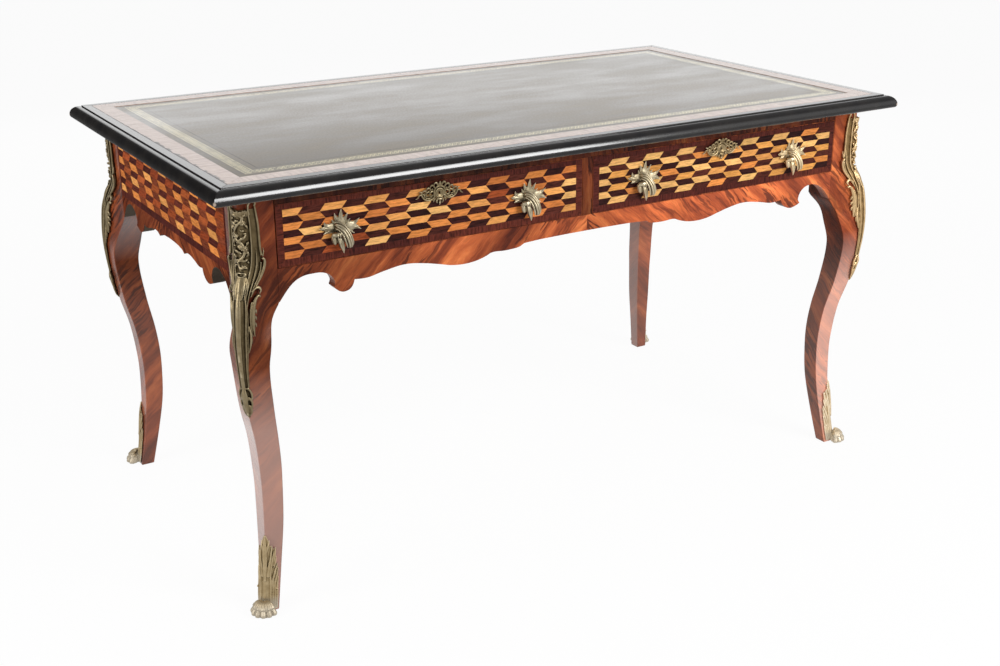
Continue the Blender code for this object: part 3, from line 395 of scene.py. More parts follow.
first_leg = rolled("leg_pattern", 2 * (FACE_STEPS + INNER_STEPS), LEG_STEPS, leg_place)
edit("DESELECT")
bpy.ops.mesh.edges_select_sharp(sharpness=radians(50))
leave_edit()
for edge in first_leg.data.edges:
    ends = [first_leg.data.vertices[i].co for i in edge.vertices]
    on_corner = all(abs(end.x + HALF_LENGTH - end.y - HALF_DEPTH) < MERGE for end in ends)
    edge.select = edge.select and (on_corner or max(end.z for end in ends) < APRON_END)
edit()
bpy.ops.mesh.bevel(offset=LEG_ARRIS, segments=4, affect="EDGES")
leave_edit()
bpy.ops.object.shade_smooth_by_angle(angle=radians(40))
for corner, x_side, y_side in CORNERS:
    leg = in_corner(first_leg, f"cabriole_leg_{corner}", x_side, y_side)
    settle(leg, "table", "kingwood", kingwood, f"leg_{corner}")
bpy.data.objects.remove(first_leg)


# Frieze boards
# The front apron rail, the side panels and the back panel are beech boards sawn to a waved lower edge and
# tenoned into the posts. Each is faced with kingwood whose figure leans towards the middle of its side,
# and the edge faces of the sides and the back are painted dark as shade.
SIDES = {"front": 0, "left": -90, "right": 90, "back": 180}
BOARD_ARRIS = 0.0004
BOARD_LAP = 0.0012
BOARD_SHY = 0.00003
SHARP_TURN = radians(42)
FRIEZE_BOARDS = (
    ("front_apron_rail", "front"), ("left_frieze_panel", "left"),
    ("right_frieze_panel", "right"), ("back_frieze_panel", "back"),
)


def turned_to(side):
    """The turn that sets a sheet made flat, X across and Y up, upright on one side of the table."""
    return Matrix.Rotation(radians(SIDES[side]), 4, "Z") @ Matrix.Rotation(radians(90), 4, "X")


def outer_outline(node, side):
    """The points round the outer face of a board, in order, as seen from outside on that side."""
    shape = bmesh.new()
    shape.from_mesh(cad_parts[node].data)
    bmesh.ops.remove_doubles(shape, verts=shape.verts, dist=MERGE)
    shape.transform(turned_to(side).inverted())
    outermost = max(point.co.z for point in shape.verts)
    outer = {face for face in shape.faces if all(outermost - point.co.z < MERGE for point in face.verts)}
    beside = {}
    for edge in shape.edges:
        if sum(face in outer for face in edge.link_faces) == 1:
            for here, there in (edge.verts, reversed(edge.verts)):
                beside.setdefault(here, []).append(there)
    points = [next(iter(beside))]
    while len(points) < len(beside):
        points.append(next(p for p in beside[points[-1]] if p not in points[-2:]))
    outline = [point.co.copy() for point in points]
    shape.free()
    return outline, outermost


def turn_at(outline, index):
    """How sharply the outline turns at one of its points."""
    before, here, after = (outline[(index + i) % len(outline)].xy for i in (-1, 0, 1))
    return abs((here - before).angle_signed(after - here))


def shaped_board(name, node, side, thickness):
    """A board cut to a CAD board's outline, its curves drawn smooth, its ends lapped into the posts."""
    outline, outermost = outer_outline(node, side)
    half = max(abs(point.x) for point in outline)
    for point in outline:
        if half - abs(point.x) < BOARD_LAP:
            point.x += BOARD_LAP if point.x > 0 else -BOARD_LAP
    curve = bpy.data.curves.new(name, "CURVE")
    curve.dimensions = "2D"
    curve.fill_mode = "BOTH"
    curve.extrude = thickness / 2
    curve.resolution_u = 5
    spline = curve.splines.new("BEZIER")
    spline.bezier_points.add(len(outline) - 1)
    spline.use_cyclic_u = True
    for index, knot in enumerate(spline.bezier_points):
        knot.co = (outline[index].x, outline[index].y, 0.0)
        kind = "VECTOR" if turn_at(outline, index) > SHARP_TURN else "AUTO"
        knot.handle_left_type = knot.handle_right_type = kind
    board = linked(name, curve)
    only(board)
    bpy.ops.object.convert(target="MESH")
    board = bpy.context.object
    middle = outermost - thickness / 2 - BOARD_SHY
    board.data.transform(turned_to(side) @ Matrix.Translation((0.0, 0.0, middle)))
    edit("SELECT")
    bpy.ops.mesh.remove_doubles(threshold=MERGE)
    bpy.ops.mesh.normals_make_consistent(inside=False)
    leave_edit()
    ease_edges(board, BOARD_ARRIS)
    return board


def worked(piece, kind, **settings):
    """Adds a modifier to the active piece and applies it."""
    modifier = piece.modifiers.new(kind.lower(), kind)
    for setting, value in settings.items():
        setattr(modifier, setting, value)
    bpy.ops.object.modifier_apply(modifier=modifier.name)


def ease_edges(piece, width):
    """Rounds the sharp edges of a piece and shades the rest smooth."""
    only(piece)
    worked(piece, "BEVEL", width=width, segments=2, limit_method="ANGLE", angle_limit=radians(40))
    bpy.ops.object.shade_smooth_by_angle(angle=radians(35))
    worked(piece, "WEIGHTED_NORMAL", keep_sharp=True)


apron_wood = kingwood_finish("kingwood_apron", GRAIN_LEAN, tone=1.75)
panel_wood = kingwood_finish("kingwood_panels", GRAIN_LEAN, tone=1.35, gloss=1.02, shaded_edges=True)
for node, side in FRIEZE_BOARDS:
    low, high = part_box(node)
    thickness = min(high.x - low.x, high.y - low.y)
    board = shaped_board(f"{node}_veneered", node, side, thickness)
    slot, wood = ("kingwood", apron_wood) if side == "front" else ("parquetry", panel_wood)
    settle(board, "table", slot, wood, node)


# Rail and divider
# A rail runs over the drawers and a short upright parts them, both beech faced with kingwood laid across
# the rail. The rail's wood is painted dark as the shadow of the top's overhang.
RAIL_ARRIS = 0.0006


def eased_copy(node, name, width):
    """A copy of a CAD piece with its triangles merged into whole faces and its edges eased."""
    piece = linked(name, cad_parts[node].data.copy())
    only(piece)
    bpy.ops.mesh.customdata_custom_splitnormals_clear()
    edit("SELECT")
    bpy.ops.mesh.remove_doubles(threshold=MERGE)
    bpy.ops.mesh.dissolve_limited(angle_limit=radians(0.5))
    leave_edit()
    ease_edges(piece, width)
    return piece


# The rail's low tone is painted shadow from the overhang of the top.
for node, lean, tone in (("front_top_rail", 86, 0.40), ("drawer_divider", 80, 0.5)):
    wood = kingwood_finish(f"kingwood_{node}", radians(lean), tone=tone)
    rail = eased_copy(node, f"{node}_veneered", RAIL_ARRIS)
    settle(rail, "table", "kingwood", wood, node)


# Parquetry of the sides and the back
# Sawn lozenges of tulipwood, rosewood and kingwood, one row leaning each way, are glued to the boards in
# a zigzag and framed by a rosewood crossband whose grain runs across its length.
VENEER = 0.0006
VENEER_PROUD = 0.00008
JOINT = 0.00016
BAND_LENGTH = 0.115
PALE_WOODS = ((0.77, 0.272, 0.067), (0.85, 0.375, 0.106), (0.70, 0.225, 0.057), (0.92, 0.50, 0.170))
DARK_WOODS = ((0.055, 0.014, 0.012), (0.080, 0.020, 0.014), (0.040, 0.011, 0.010), (0.110, 0.026, 0.017))
RED_WOODS = ((0.42, 0.088, 0.026), (0.36, 0.070, 0.023), (0.48, 0.115, 0.034))
BROWN_WOODS = ((0.24, 0.056, 0.024), (0.20, 0.047, 0.020), (0.27, 0.064, 0.025))
BAND_WOODS = ((0.125, 0.027, 0.019), (0.100, 0.022, 0.016), (0.155, 0.034, 0.021))


def side_wood(column, row):
    """The wood of a lozenge on a side: pale and dark columns between red and brown ones."""
    if column % 2 == 0:
        return PALE_WOODS[:3] if row % 2 == 0 else BAND_WOODS
    return BROWN_WOODS if row % 2 == 0 else RED_WOODS


def veneer_finish(name, gloss):
    """Polished veneers: each piece keeps its own wood, with fibres and pores along its own grain."""
    finish = new_finish(name, IOR=gloss)
    tree = finish.node_tree
    wood = wire(tree, "Attribute", attribute_name="wood")
    along, across, _ = split(wire(tree, "UVMap", uv_map="grain"))
    cloud = noise(wire(tree, "CombineXYZ", times(along, 0.16), across), 320.0, 4.0, 0.6)
    fibre = noise(wire(tree, "CombineXYZ", times(along, 0.05), across), 1700.0, 3.0, 0.6)
    figured = graded(wire(tree, "SeparateColor", wood), 0.08, 0.55, 1.0, 0.55)
    colour = shaded(wood, ramp(cloud, (0.34, 0.28), (0.56, 1.0)), figured)
    colour = shaded(colour, ramp(fibre, (0.32, 0.30), (0.60, 1.0)), figured)
    paint(finish, Base_Color=colour, Roughness=ramp(fibre, (0.3, 0.42), (0.6, 0.24)))
    paint(finish, Normal=bumped(fibre, 0.05, 0.0002))
    return finish


def lozenges(name, low, high, pitch, rows, slant, begin):
    """Rows of lozenges cut to a rectangle; begin is how much of the first column its left edge cuts off."""
    width, tall = high.x - low.x, high.y - low.y
    columns = int(width / pitch) + 3
    bpy.ops.object.select_all(action="DESELECT")
    bpy.ops.mesh.primitive_grid_add(x_subdivisions=columns, y_subdivisions=rows, size=1)
    sheet = bpy.context.object
    sheet.name = sheet.data.name = name
    for point in sheet.data.vertices:
        column = round((point.co.x + 0.5) * columns)
        row = round((0.5 - point.co.y) * rows)
        lean = slant / 2 if row % 2 == 0 else -slant / 2
        point.co = (low.x + (column - begin) * pitch + lean, high.y - tall * row / rows, 0.0)
    edit()
    for edge, outward in ((low.x, -1.0), (high.x, 1.0)):
        bpy.ops.mesh.select_all(action="SELECT")
        bpy.ops.mesh.bisect(plane_co=(edge, 0.0, 0.0), plane_no=(outward, 0.0, 0.0), clear_outer=True)
    part_pieces()
    leave_edit()
    return sheet


def part_pieces():
    """Chamfers every piece of the sheet that is being edited, which leaves a fine joint between them."""
    bpy.ops.mesh.select_all(action="SELECT")
    bpy.ops.mesh.normals_make_consistent(inside=False)
    bpy.ops.mesh.inset(thickness=JOINT, depth=VENEER_PROUD, use_individual=True, use_even_offset=True)


def crossband(name, low, high, inner_low, inner_high):
    """A mitred frame of crossbanding between two rectangles, sawn into short lengths."""
    bpy.ops.object.select_all(action="DESELECT")
    bpy.ops.mesh.primitive_plane_add(size=1)
    frame_of_bands = bpy.context.object
    frame_of_bands.name = frame_of_bands.data.name = name
    edit("SELECT")
    bpy.ops.mesh.inset(thickness=0.25)
    bpy.ops.mesh.delete(type="FACE")
    leave_edit()
    for point in frame_of_bands.data.vertices:
        start, end = (low, high) if max(abs(point.co.x), abs(point.co.y)) > 0.4 else (inner_low, inner_high)
        point.co = (end.x if point.co.x > 0 else start.x, end.y if point.co.y > 0 else start.y, 0.0)
    edit()
    lengths = round((inner_high.x - inner_low.x) / BAND_LENGTH)
    for i in range(1, lengths):
        bpy.ops.mesh.select_all(action="SELECT")
        cut = inner_low.x + (inner_high.x - inner_low.x) * i / lengths
        bpy.ops.mesh.bisect(plane_co=(cut, 0.0, 0.0), plane_no=(1.0, 0.0, 0.0))
    part_pieces()
    leave_edit()
    return frame_of_bands


def veneered(name, side, outward, low, high, inner_low, inner_high, pattern, begin, wood_of, seed):
    """A sheet of parquetry in its crossband, laid on one side of the table, outward from its middle.

    Pattern is the pitch of the columns, the number of rows and the slant of the lozenges.
    """
    pitch, rows, slant = pattern
    draw = random.Random(seed)
    tiles = lozenges(name, inner_low, inner_high, pitch, rows, slant, begin)
    row_height = (inner_high.y - inner_low.y) / rows
    chosen = {}

    def tile_of(middle):
        row = min(max(int((inner_high.y - middle.y) / row_height), 0), rows - 1)
        down = (inner_high.y - middle.y) / row_height - row
        lean = slant / 2 - slant * down if row % 2 == 0 else -slant / 2 + slant * down
        return int((middle.x - inner_low.x - lean) / pitch + begin), row

    mark_woods(tiles, tile_of, lambda tile: wood_of(*tile), lambda tile: False, chosen, draw)
    bands = crossband(name + "_band", low, high, inner_low, inner_high)
    lengths = round((inner_high.x - inner_low.x) / BAND_LENGTH)

    def band_of(middle):
        upright = inner_low.y < middle.y < inner_high.y
        place = int((middle.x - inner_low.x) / (inner_high.x - inner_low.x) * lengths)
        return ("end", middle.x > inner_low.x) if upright else (place, middle.y > inner_low.y)

    mark_woods(bands, band_of, lambda band: BAND_WOODS, lambda band: band[0] != "end", {}, draw)
    only(tiles)
    bands.select_set(True)
    bpy.ops.object.join()
    worked(tiles, "SOLIDIFY", thickness=VENEER, offset=-1.0)
    tiles.data.transform(turned_to(side) @ Matrix.Translation((0.0, 0.0, outward)))
    return tiles


def mark_woods(sheet, piece_of, woods_of, upright, chosen, draw):
    """Gives each piece of a sheet one of its woods, and a grain map that runs along its own fibres."""
    mesh = sheet.data
    wood = mesh.attributes.new("wood", "FLOAT_COLOR", "FACE")
    while mesh.uv_layers:
        mesh.uv_layers.remove(mesh.uv_layers[0])
    grain = mesh.uv_layers.new(name="grain")
    for face in mesh.polygons:
        piece = piece_of(face.center)
        if piece not in chosen:
            tone = draw.uniform(0.82, 1.14)
            colour = draw.choice(woods_of(piece))
            shifts = [draw.uniform(0.0, 9.0) for _ in range(2)]
            chosen[piece] = ([tone * part for part in colour], *shifts)
        colour, shift_along, shift_across = chosen[piece]
        wood.data[face.index].color = (*colour, 1.0)
        for corner in face.loop_indices:
            point = mesh.vertices[mesh.loops[corner].vertex_index].co
            along, across = (point.y, point.x) if upright(piece) else (point.x, point.y)
            grain.data[corner].uv = (along + shift_along, across + shift_across)


panel_veneers = veneer_finish("veneers_panels", 1.02)
SIDE_PATTERN = (0.0417, 7, -0.0105)
SIDE_BEGIN = 0.35
SIDE_LOW, SIDE_HIGH = 0.6175, 0.7120
SIDE_BAND = 0.0135
END_BAND = 0.0065
for seed, (side, half, outward) in enumerate((
    ("left", HALF_DEPTH - POST_WIDTH, HALF_LENGTH),
    ("right", HALF_DEPTH - POST_WIDTH, HALF_LENGTH),
    ("back", HALF_LENGTH - POST_WIDTH, HALF_DEPTH),
)):
    sheet = veneered(
        f"{side}_parquetry", side, outward,
        Vector((-half, SIDE_LOW - SIDE_BAND)), Vector((half, SIDE_HIGH + SIDE_BAND)),
        Vector((-half + END_BAND, SIDE_LOW)), Vector((half - END_BAND, SIDE_HIGH)),
        SIDE_PATTERN, SIDE_BEGIN, side_wood, seed,
    )
    settle(sheet, "table", "parquetry", panel_veneers)


# Runners, guides and stops
# Sawn oak strips inside the frieze carry the drawers, keep them from tipping and stop them flush. They
# are planed, glued into the rails and left unpolished.
OAK_ARRIS = 0.0008


def oak_finish():
    """Planed oak, dry and unpolished, with long fibres and open pores along the grain."""
    finish = new_finish("oak")
    place = place_on(finish)
    figure = noise(stretched(place, (1.0, 0.10, 1.0)), 60.0, 5.0, 0.6, 0.3)
    pores = noise(stretched(place, (1.0, 0.03, 1.0)), 900.0, 2.0, 0.6)
    colour = ramp(
        figure,
        (0.32, (0.21, 0.125, 0.060)), (0.52, (0.34, 0.215, 0.110)), (0.70, (0.44, 0.30, 0.165)),
    )
    colour = shaded(colour, ramp(pores, (0.34, 0.45), (0.52, 1.0)), 0.5)
    paint(finish, Base_Color=colour, Roughness=ramp(pores, (0.3, 0.72), (0.6, 0.55)))
    paint(finish, Normal=bumped(pores, 0.25, 0.0004))
    return finish


oak = oak_finish()
strips = ("runner", "kicker", "stop")
inner_strips = [f"{hand}_drawer_{strip}" for hand in ("left", "right") for strip in strips]
for node in inner_strips + ["centre_drawer_runner", "centre_drawer_kicker"]:
    settle(eased_copy(node, f"{node}_planed", OAK_ARRIS), "table", "oak", oak, node)


# Drawer boxes
# Oak sides and backs are dovetailed to each front, and a thin oak bottom slides into their grooves. The
# fronts are oak cores, edged all round in rosewood.
LINING_ARRIS = 0.0006
for hand in ("left", "right"):
    for board in ("left_side", "right_side", "back", "bottom"):
        node = f"{hand}_drawer_{board}"
        settle(eased_copy(node, f"{node}_planed", LINING_ARRIS), f"{hand}_drawer", "oak", oak, node)


# Drawer fronts
# Each front is faced with two-tone parquetry of tulipwood and rosewood in a rosewood crossband. The
# lozenges of the right drawer are the paler, partly by fading of the wood and partly as painted light.
FRONT_PATTERN = (0.0391, 7, 0.0100)
FRONT_LOW, FRONT_HIGH = 0.629, 0.7118
NEAR_BAND, FAR_BAND = 0.0139, 0.0122
# Paler woods for the right drawer: partly fading of the wood, partly painted light.
PALER_AND_LIT_WOODS = ((0.88, 0.50, 0.165), (0.80, 0.36, 0.090))
# The pale woods, how much of the first column is cut off, whether it starts dark, and the seed of the draw
ROW_TILES = {
    "left": (PALE_WOODS[:3] * 3 + PALE_WOODS[1:] + RED_WOODS[:1], 0.22, 0, 11),
    "right": (PALE_WOODS[:2] + PALE_WOODS[3:] * 2 + PALER_AND_LIT_WOODS, 0.40, 1, 12),
}
drawer_veneers = veneer_finish("veneers_drawers", 1.15)
front_core = kingwood_finish("rosewood_edge", radians(80))
for hand, (pale, begin, first_dark, seed) in ROW_TILES.items():
    node = f"{hand}_drawer_front"
    low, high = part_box(node)
    near_end = (NEAR_BAND, FAR_BAND) if hand == "right" else (FAR_BAND, NEAR_BAND)
    core = eased_copy(node, f"{node}_core", LINING_ARRIS)
    settle(core, f"{hand}_drawer", "rosewood_band", front_core, node)

    def front_wood(column, row, pale=pale, first_dark=first_dark):
        return DARK_WOODS if (column + row + first_dark) % 2 else pale

    outer_low = Vector((low.x + LINING_ARRIS, low.z + LINING_ARRIS))
    outer_high = Vector((high.x - LINING_ARRIS, high.z - LINING_ARRIS))
    sheet = veneered(
        f"{hand}_drawer_parquetry", "front", HALF_DEPTH,
        outer_low, outer_high,
        Vector((low.x + near_end[0], FRONT_LOW)), Vector((high.x - near_end[1], FRONT_HIGH)),
        FRONT_PATTERN, begin, front_wood, seed,
    )
    settle(sheet, f"{hand}_drawer", "parquetry", drawer_veneers)


# Locks
# A steel lock is let into the back of each drawer front. Its bolt rises into the rail above when the key
# is turned.
LOCK_ARRIS = 0.0004


def steel_finish():
    """Forged steel, filed and dulled by age."""
    finish = new_finish("lock_steel", Metallic=1.0)
    place = place_on(finish)
    film = noise(place, 120.0, 4.0, 0.6)
    marks = noise(stretched(place, (1.0, 1.0, 12.0)), 300.0, 2.0)
    colour = ramp(film, (0.35, (0.16, 0.13, 0.11)), (0.60, (0.34, 0.33, 0.32)))
    paint(finish, Base_Color=colour, Roughness=ramp(marks, (0.3, 0.58), (0.7, 0.32)))
    return finish


steel = steel_finish()
for hand in ("left", "right"):
    case, bolt = f"{hand}_lock_case", f"{hand}_lock_bolt"
    settle(eased_copy(case, f"{case}_filed", LOCK_ARRIS), f"{hand}_drawer", "lock_steel", steel, case)
    settle(eased_copy(bolt, f"{bolt}_filed", LOCK_ARRIS), f"{hand}_bolt", "lock_steel", steel, bolt)


# Top board and moulding
# The top is a framed oak board. A mitred moulding of pearwood, stained black and polished, is grooved on
# to its edge. Its lower arris is worn back to the bare wood, and its two end lengths are the duller.
MOULDING_ARRIS = 0.0006
NOSE_HEIGHT = 0.7506
WORN_EDGE = 0.0020
# Reach of the pale spot painted as a highlight at the tips of the mitres
HIGHLIGHT_TIP = (0.002, 0.0045)
# Pale colour of the wear at the lowest edge and of the painted highlight at the mitre tips
BARE_PEARWOOD_AND_HIGHLIGHT = (0.40, 0.32, 0.26, 1.0)


def ebonised_finish(name, gloss, smooth, rough, polish, flat_polish):
    """Black-stained wood, rubbed brown along its lowest edge, with a painted highlight at its mitre tips.

    Polish is the lacquer left on the upper part of the rounded nose, and flat_polish that on the level top.
    """
    finish = new_finish(name, IOR=gloss, Coat_Roughness=0.15, Coat_IOR=2.2)
    place = place_on(finish)
    film = noise(place, 26.0, 5.0, 0.6)
    fine = noise(place, 480.0, 3.0, 0.6)
    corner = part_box("moulding_front")[0]
    low_edge = graded(split(place)[2], corner.z, corner.z + WORN_EDGE, 1.0, 0.0)
    worn = times(low_edge, ramp(film, (0.40, 0.25), (0.56, 1.0)))
    folded = wire(finish.node_tree, "VectorMath", place, operation="ABSOLUTE")
    # Painted highlight: a pale spot at the tips of the mitres.
    tip = (-corner.x, -corner.y, NOSE_HEIGHT)
    from_tip = wire(finish.node_tree, "VectorMath", folded, tip, operation="DISTANCE").outputs["Value"]
    worn = reckon("MAXIMUM", worn, graded(from_tip, *HIGHLIGHT_TIP, 1.0, 0.0))
    colour = ramp(film, (0.35, (0.006, 0.0055, 0.006)), (0.65, (0.014, 0.012, 0.011)))
    colour = mixed(worn, colour, BARE_PEARWOOD_AND_HIGHLIGHT)
    upward = facing_of(finish)[2]
    dull = 0.1 * polish
    nose = ramp(upward, (0.04, dull), (0.18, polish), (0.40, polish), (0.60, dull))
    paint(finish, Coat_Weight=graded(upward, 0.92, 0.99, nose, flat_polish))
    paint(finish, Base_Color=colour, Roughness=ramp(fine, (0.35, smooth), (0.70, rough)))
    paint(finish, Normal=bumped(fine, 0.04, 0.0003))
    return finish


ebonised = {
    "front": ebonised_finish("ebonised_wood", 1.30, 0.12, 0.18, polish=0.50, flat_polish=0.05),
    "left": ebonised_finish("ebonised_wood_dull", 1.04, 0.26, 0.36, polish=0.0, flat_polish=0.80),
}
ebonised["back"], ebonised["right"] = ebonised["front"], ebonised["left"]
settle(eased_copy("top_board", "top_board_planed", OAK_ARRIS), "table", "oak", oak, "top_board")
for edge in SIDES:
    node = f"moulding_{edge}"
    moulding = eased_copy(node, f"{node}_polished", MOULDING_ARRIS)
    settle(moulding, "table", "ebonised_wood", ebonised[edge], node)


# Crossbanding of the top
# Four mitred lengths of rosewood, laid with the grain running outwards, frame the leather inside the
# moulding.
BAND_ARRIS = 0.0003
END_SHRINKAGE, FRONT_SHRINKAGE = 0.0062, 0.0012
GAP_DIRT = (0.030, 0.012, 0.006, 1.0)


def top_band_finish(name, ends, edge):
    """Rosewood with its grain across the band, shrunk to a ragged gap along its outer edge at the left.

    Ends is true for the bands at the ends of the table, and edge is how far out the band reaches.
    """
    finish = new_finish(name, Coat_Roughness=0.12, Coat_IOR=1.8)
    whole = place_on(finish)
    place = stretched(whole, (0.06, 1.0, 1.0) if ends else (1.0, 0.06, 1.0))
    pores = noise(place, 1200.0, 2.0, 0.6)
    colour = ramp(
        noise(place, 130.0, 5.0, 0.65),
        (0.34, (0.25, 0.140, 0.098)), (0.50, (0.36, 0.220, 0.158)), (0.68, (0.44, 0.295, 0.220)),
    )
    colour = shaded(colour, ramp(pores, (0.32, 0.5), (0.58, 1.0)), 0.5)
    x, y, _ = split(whole)
    inset = less(edge, size_of(x if ends else y))
    ragged = ramp(noise(whole, 55.0, 4.0, 0.7), (0.38, 0.0), (0.60, 1.0))
    shrunk = times(reckon("LESS_THAN", x, 0.0), graded(y, 0.22, -0.06, 0.1, 1.0))
    width = times(shrunk, END_SHRINKAGE if ends else FRONT_SHRINKAGE)
    gap = reckon("LESS_THAN", inset, times(ragged, width))
    colour = mixed(gap, colour, GAP_DIRT)
    paint(finish, Coat_Weight=graded(gap, 0.0, 1.0, 0.30, 0.0))
    paint(finish, Base_Color=colour, Roughness=ramp(pores, (0.3, 0.42), (0.6, 0.28)))
    paint(finish, Normal=bumped(pores, 0.08, 0.0002))
    return finish


band_woods = {
    True: top_band_finish("rosewood_ends", True, -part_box("crossband_left")[0].x),
    False: top_band_finish("rosewood_lengths", False, -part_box("crossband_front")[0].y),
}
for edge in SIDES:
    node = f"crossband_{edge}"
    band = eased_copy(node, f"{node}_polished", BAND_ARRIS)
    settle(band, "table", "rosewood_band", band_woods[edge in ("left", "right")], node)


# Writing leather
# One skin of dark calf is pasted inside the crossband. Two fillets and a running guilloche are tooled in
# gold near its edge, and one plain line is tooled blind inside them.
LEATHER_ROUND = 0.0008
FILLET_WIDTH = 0.0014
FILLET_DEPTH = 0.00025
OUTER_FILLET, INNER_FILLET, BLIND_LINE = 0.0165, 0.0335, 0.0470
ROLL_PITCH, ROLL_SWING, ROLL_LINE, ROLL_EYE = 0.0150, 0.0050, 0.0011, 0.0017
OLD_GILT = (0.85, 0.77, 0.50, 1.0)
BLIND_TOOLING = (0.010, 0.008, 0.007, 1.0)


def leather_finish(half_length, half_depth):
    """Dark calf with a fine grain, rubbed paler in places, and gilt tooling set in from its edge."""
    finish = new_finish("tooled_leather", Coat_Roughness=0.36, Coat_IOR=1.9)
    place = place_on(finish)
    x, y, _ = split(place)
    from_end = less(half_length, size_of(x))
    from_front = less(half_depth, size_of(y))
    inset = reckon("MINIMUM", from_end, from_front)
    at_end = reckon("LESS_THAN", from_end, from_front)
    along_edge = plus(times(y, at_end), times(x, less(1.0, at_end)))

    def line(off, half, soft):
        """One within half a width of a line's middle, falling to nought over a soft edge."""
        return graded(size_of(off), half - soft, half + soft, 1.0, 0.0)

    wave = reckon("SINE", times(along_edge, 2 * pi / ROLL_PITCH))
    offset = less(inset, (OUTER_FILLET + INNER_FILLET) / 2)
    swing = times(wave, ROLL_SWING)
    crest = graded(size_of(wave), 0.90, 0.96, 0.0, 1.0)
    gilt = times(crest, line(offset, ROLL_EYE, 0.0003))
    for strand in (swing, times(swing, -1.0)):
        gilt = reckon("MAXIMUM", gilt, line(less(offset, strand), ROLL_LINE, 0.0004))
    for centre in (OUTER_FILLET, INNER_FILLET):
        gilt = reckon("MAXIMUM", gilt, line(less(inset, centre), FILLET_WIDTH / 2, 0.0003))
    gilt = times(gilt, ramp(noise(place, 90.0, 4.0, 0.65), (0.34, 0.25), (0.50, 1.0)))
    cloud = noise(stretched(place, (0.30, 1.0, 1.0)), 13.0, 6.0, 0.68)
    grain = wire(finish.node_tree, "TexVoronoi", place, None, 620.0)
    crease = noise(place, 260.0, 3.0, 0.6)
    colour = ramp(
        cloud,
        (0.32, (0.070, 0.058, 0.044)), (0.48, (0.122, 0.102, 0.078)), (0.62, (0.195, 0.165, 0.125)),
    )
    colour = mixed(line(less(inset, BLIND_LINE), FILLET_WIDTH / 2, 0.0003), colour, BLIND_TOOLING)
    colour = mixed(gilt, colour, OLD_GILT)
    rough = mixed(gilt, ramp(crease, (0.35, 0.36), (0.65, 0.52)), (0.36, 0.36, 0.36, 1.0))
    paint(finish, Base_Color=colour, Roughness=rough, Metallic=times(gilt, 0.5))
    paint(finish, Coat_Weight=ramp(cloud, (0.38, 0.76), (0.60, 0.26)))
    paint(finish, Normal=bumped(plus(grain, times(crease, 0.6)), 0.10, 0.0002))
    return finish


low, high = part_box("writing_leather")
bpy.ops.object.select_all(action="DESELECT")
bpy.ops.mesh.primitive_cube_add(size=1, location=(low + high) / 2, scale=high - low)
leather = bpy.context.object
leather.name = leather.data.name = "writing_leather_tooled"
bpy.ops.object.transform_apply(location=True, rotation=True, scale=True)
edit("SELECT")
bpy.ops.mesh.bevel(offset=LEATHER_ROUND, segments=3, affect="EDGES")
leave_edit()
for face in leather.data.polygons:
    face.select = face.normal.z > 0.99 and face.area > 0.5
edit()
reached = LEATHER_ROUND
for line_at in (OUTER_FILLET, INNER_FILLET, BLIND_LINE):
    bpy.ops.mesh.inset(thickness=line_at - FILLET_WIDTH / 2 - reached, depth=0.0)
    bpy.ops.mesh.inset(thickness=FILLET_WIDTH / 2, depth=-FILLET_DEPTH)
    bpy.ops.mesh.inset(thickness=FILLET_WIDTH / 2, depth=FILLET_DEPTH)
    reached = line_at + FILLET_WIDTH / 2
leave_edit()
bpy.ops.object.shade_smooth_by_angle(angle=radians(25))
settle(leather, "table", "tooled_leather", leather_finish(high.x, high.y), "writing_leather")


# Corner mounts
# Each mount is one brass casting, chased and lacquered, wrapped over the corner of a post and pinned down
# its knee: a flowered panel between hollow borders, a feathered leaf, scrolls, a fluted stem and a bud.
CASTING_VOXEL = 0.0006
MOUNT_ROUND = 0.005
MOUNT_GAP = 0.0007
MOUNT_THICKNESS = 0.0016
MOUNT_BED = 1.2
HOLLOW_REACH = 0.006
FLOOR_DUST = (0.48, 0.44, 0.37, 1.0)
MM = 0.001
# Height, then half the width of the plate behind the relief, in millimetres
MOUNT_PLATE = (
    (373, 1.0), (385, 3.5), (400, 5.2), (419, 6.5), (430, 5.0), (470, 8.0), (492, 11.0), (515, 13.5),
    (545, 14.2), (560, 13.6), (575, 16.0), (590, 20.0), (604, 24.5), (618, 29.5), (632, 32.0), (655, 30.5),
    (680, 30.2), (700, 29.0), (716, 26.0), (724, 23.5),
)
MOUNT_LOW, MOUNT_HIGH = 374, 722
PLATE_STEPS, MOUNT_STEPS = 48, 120
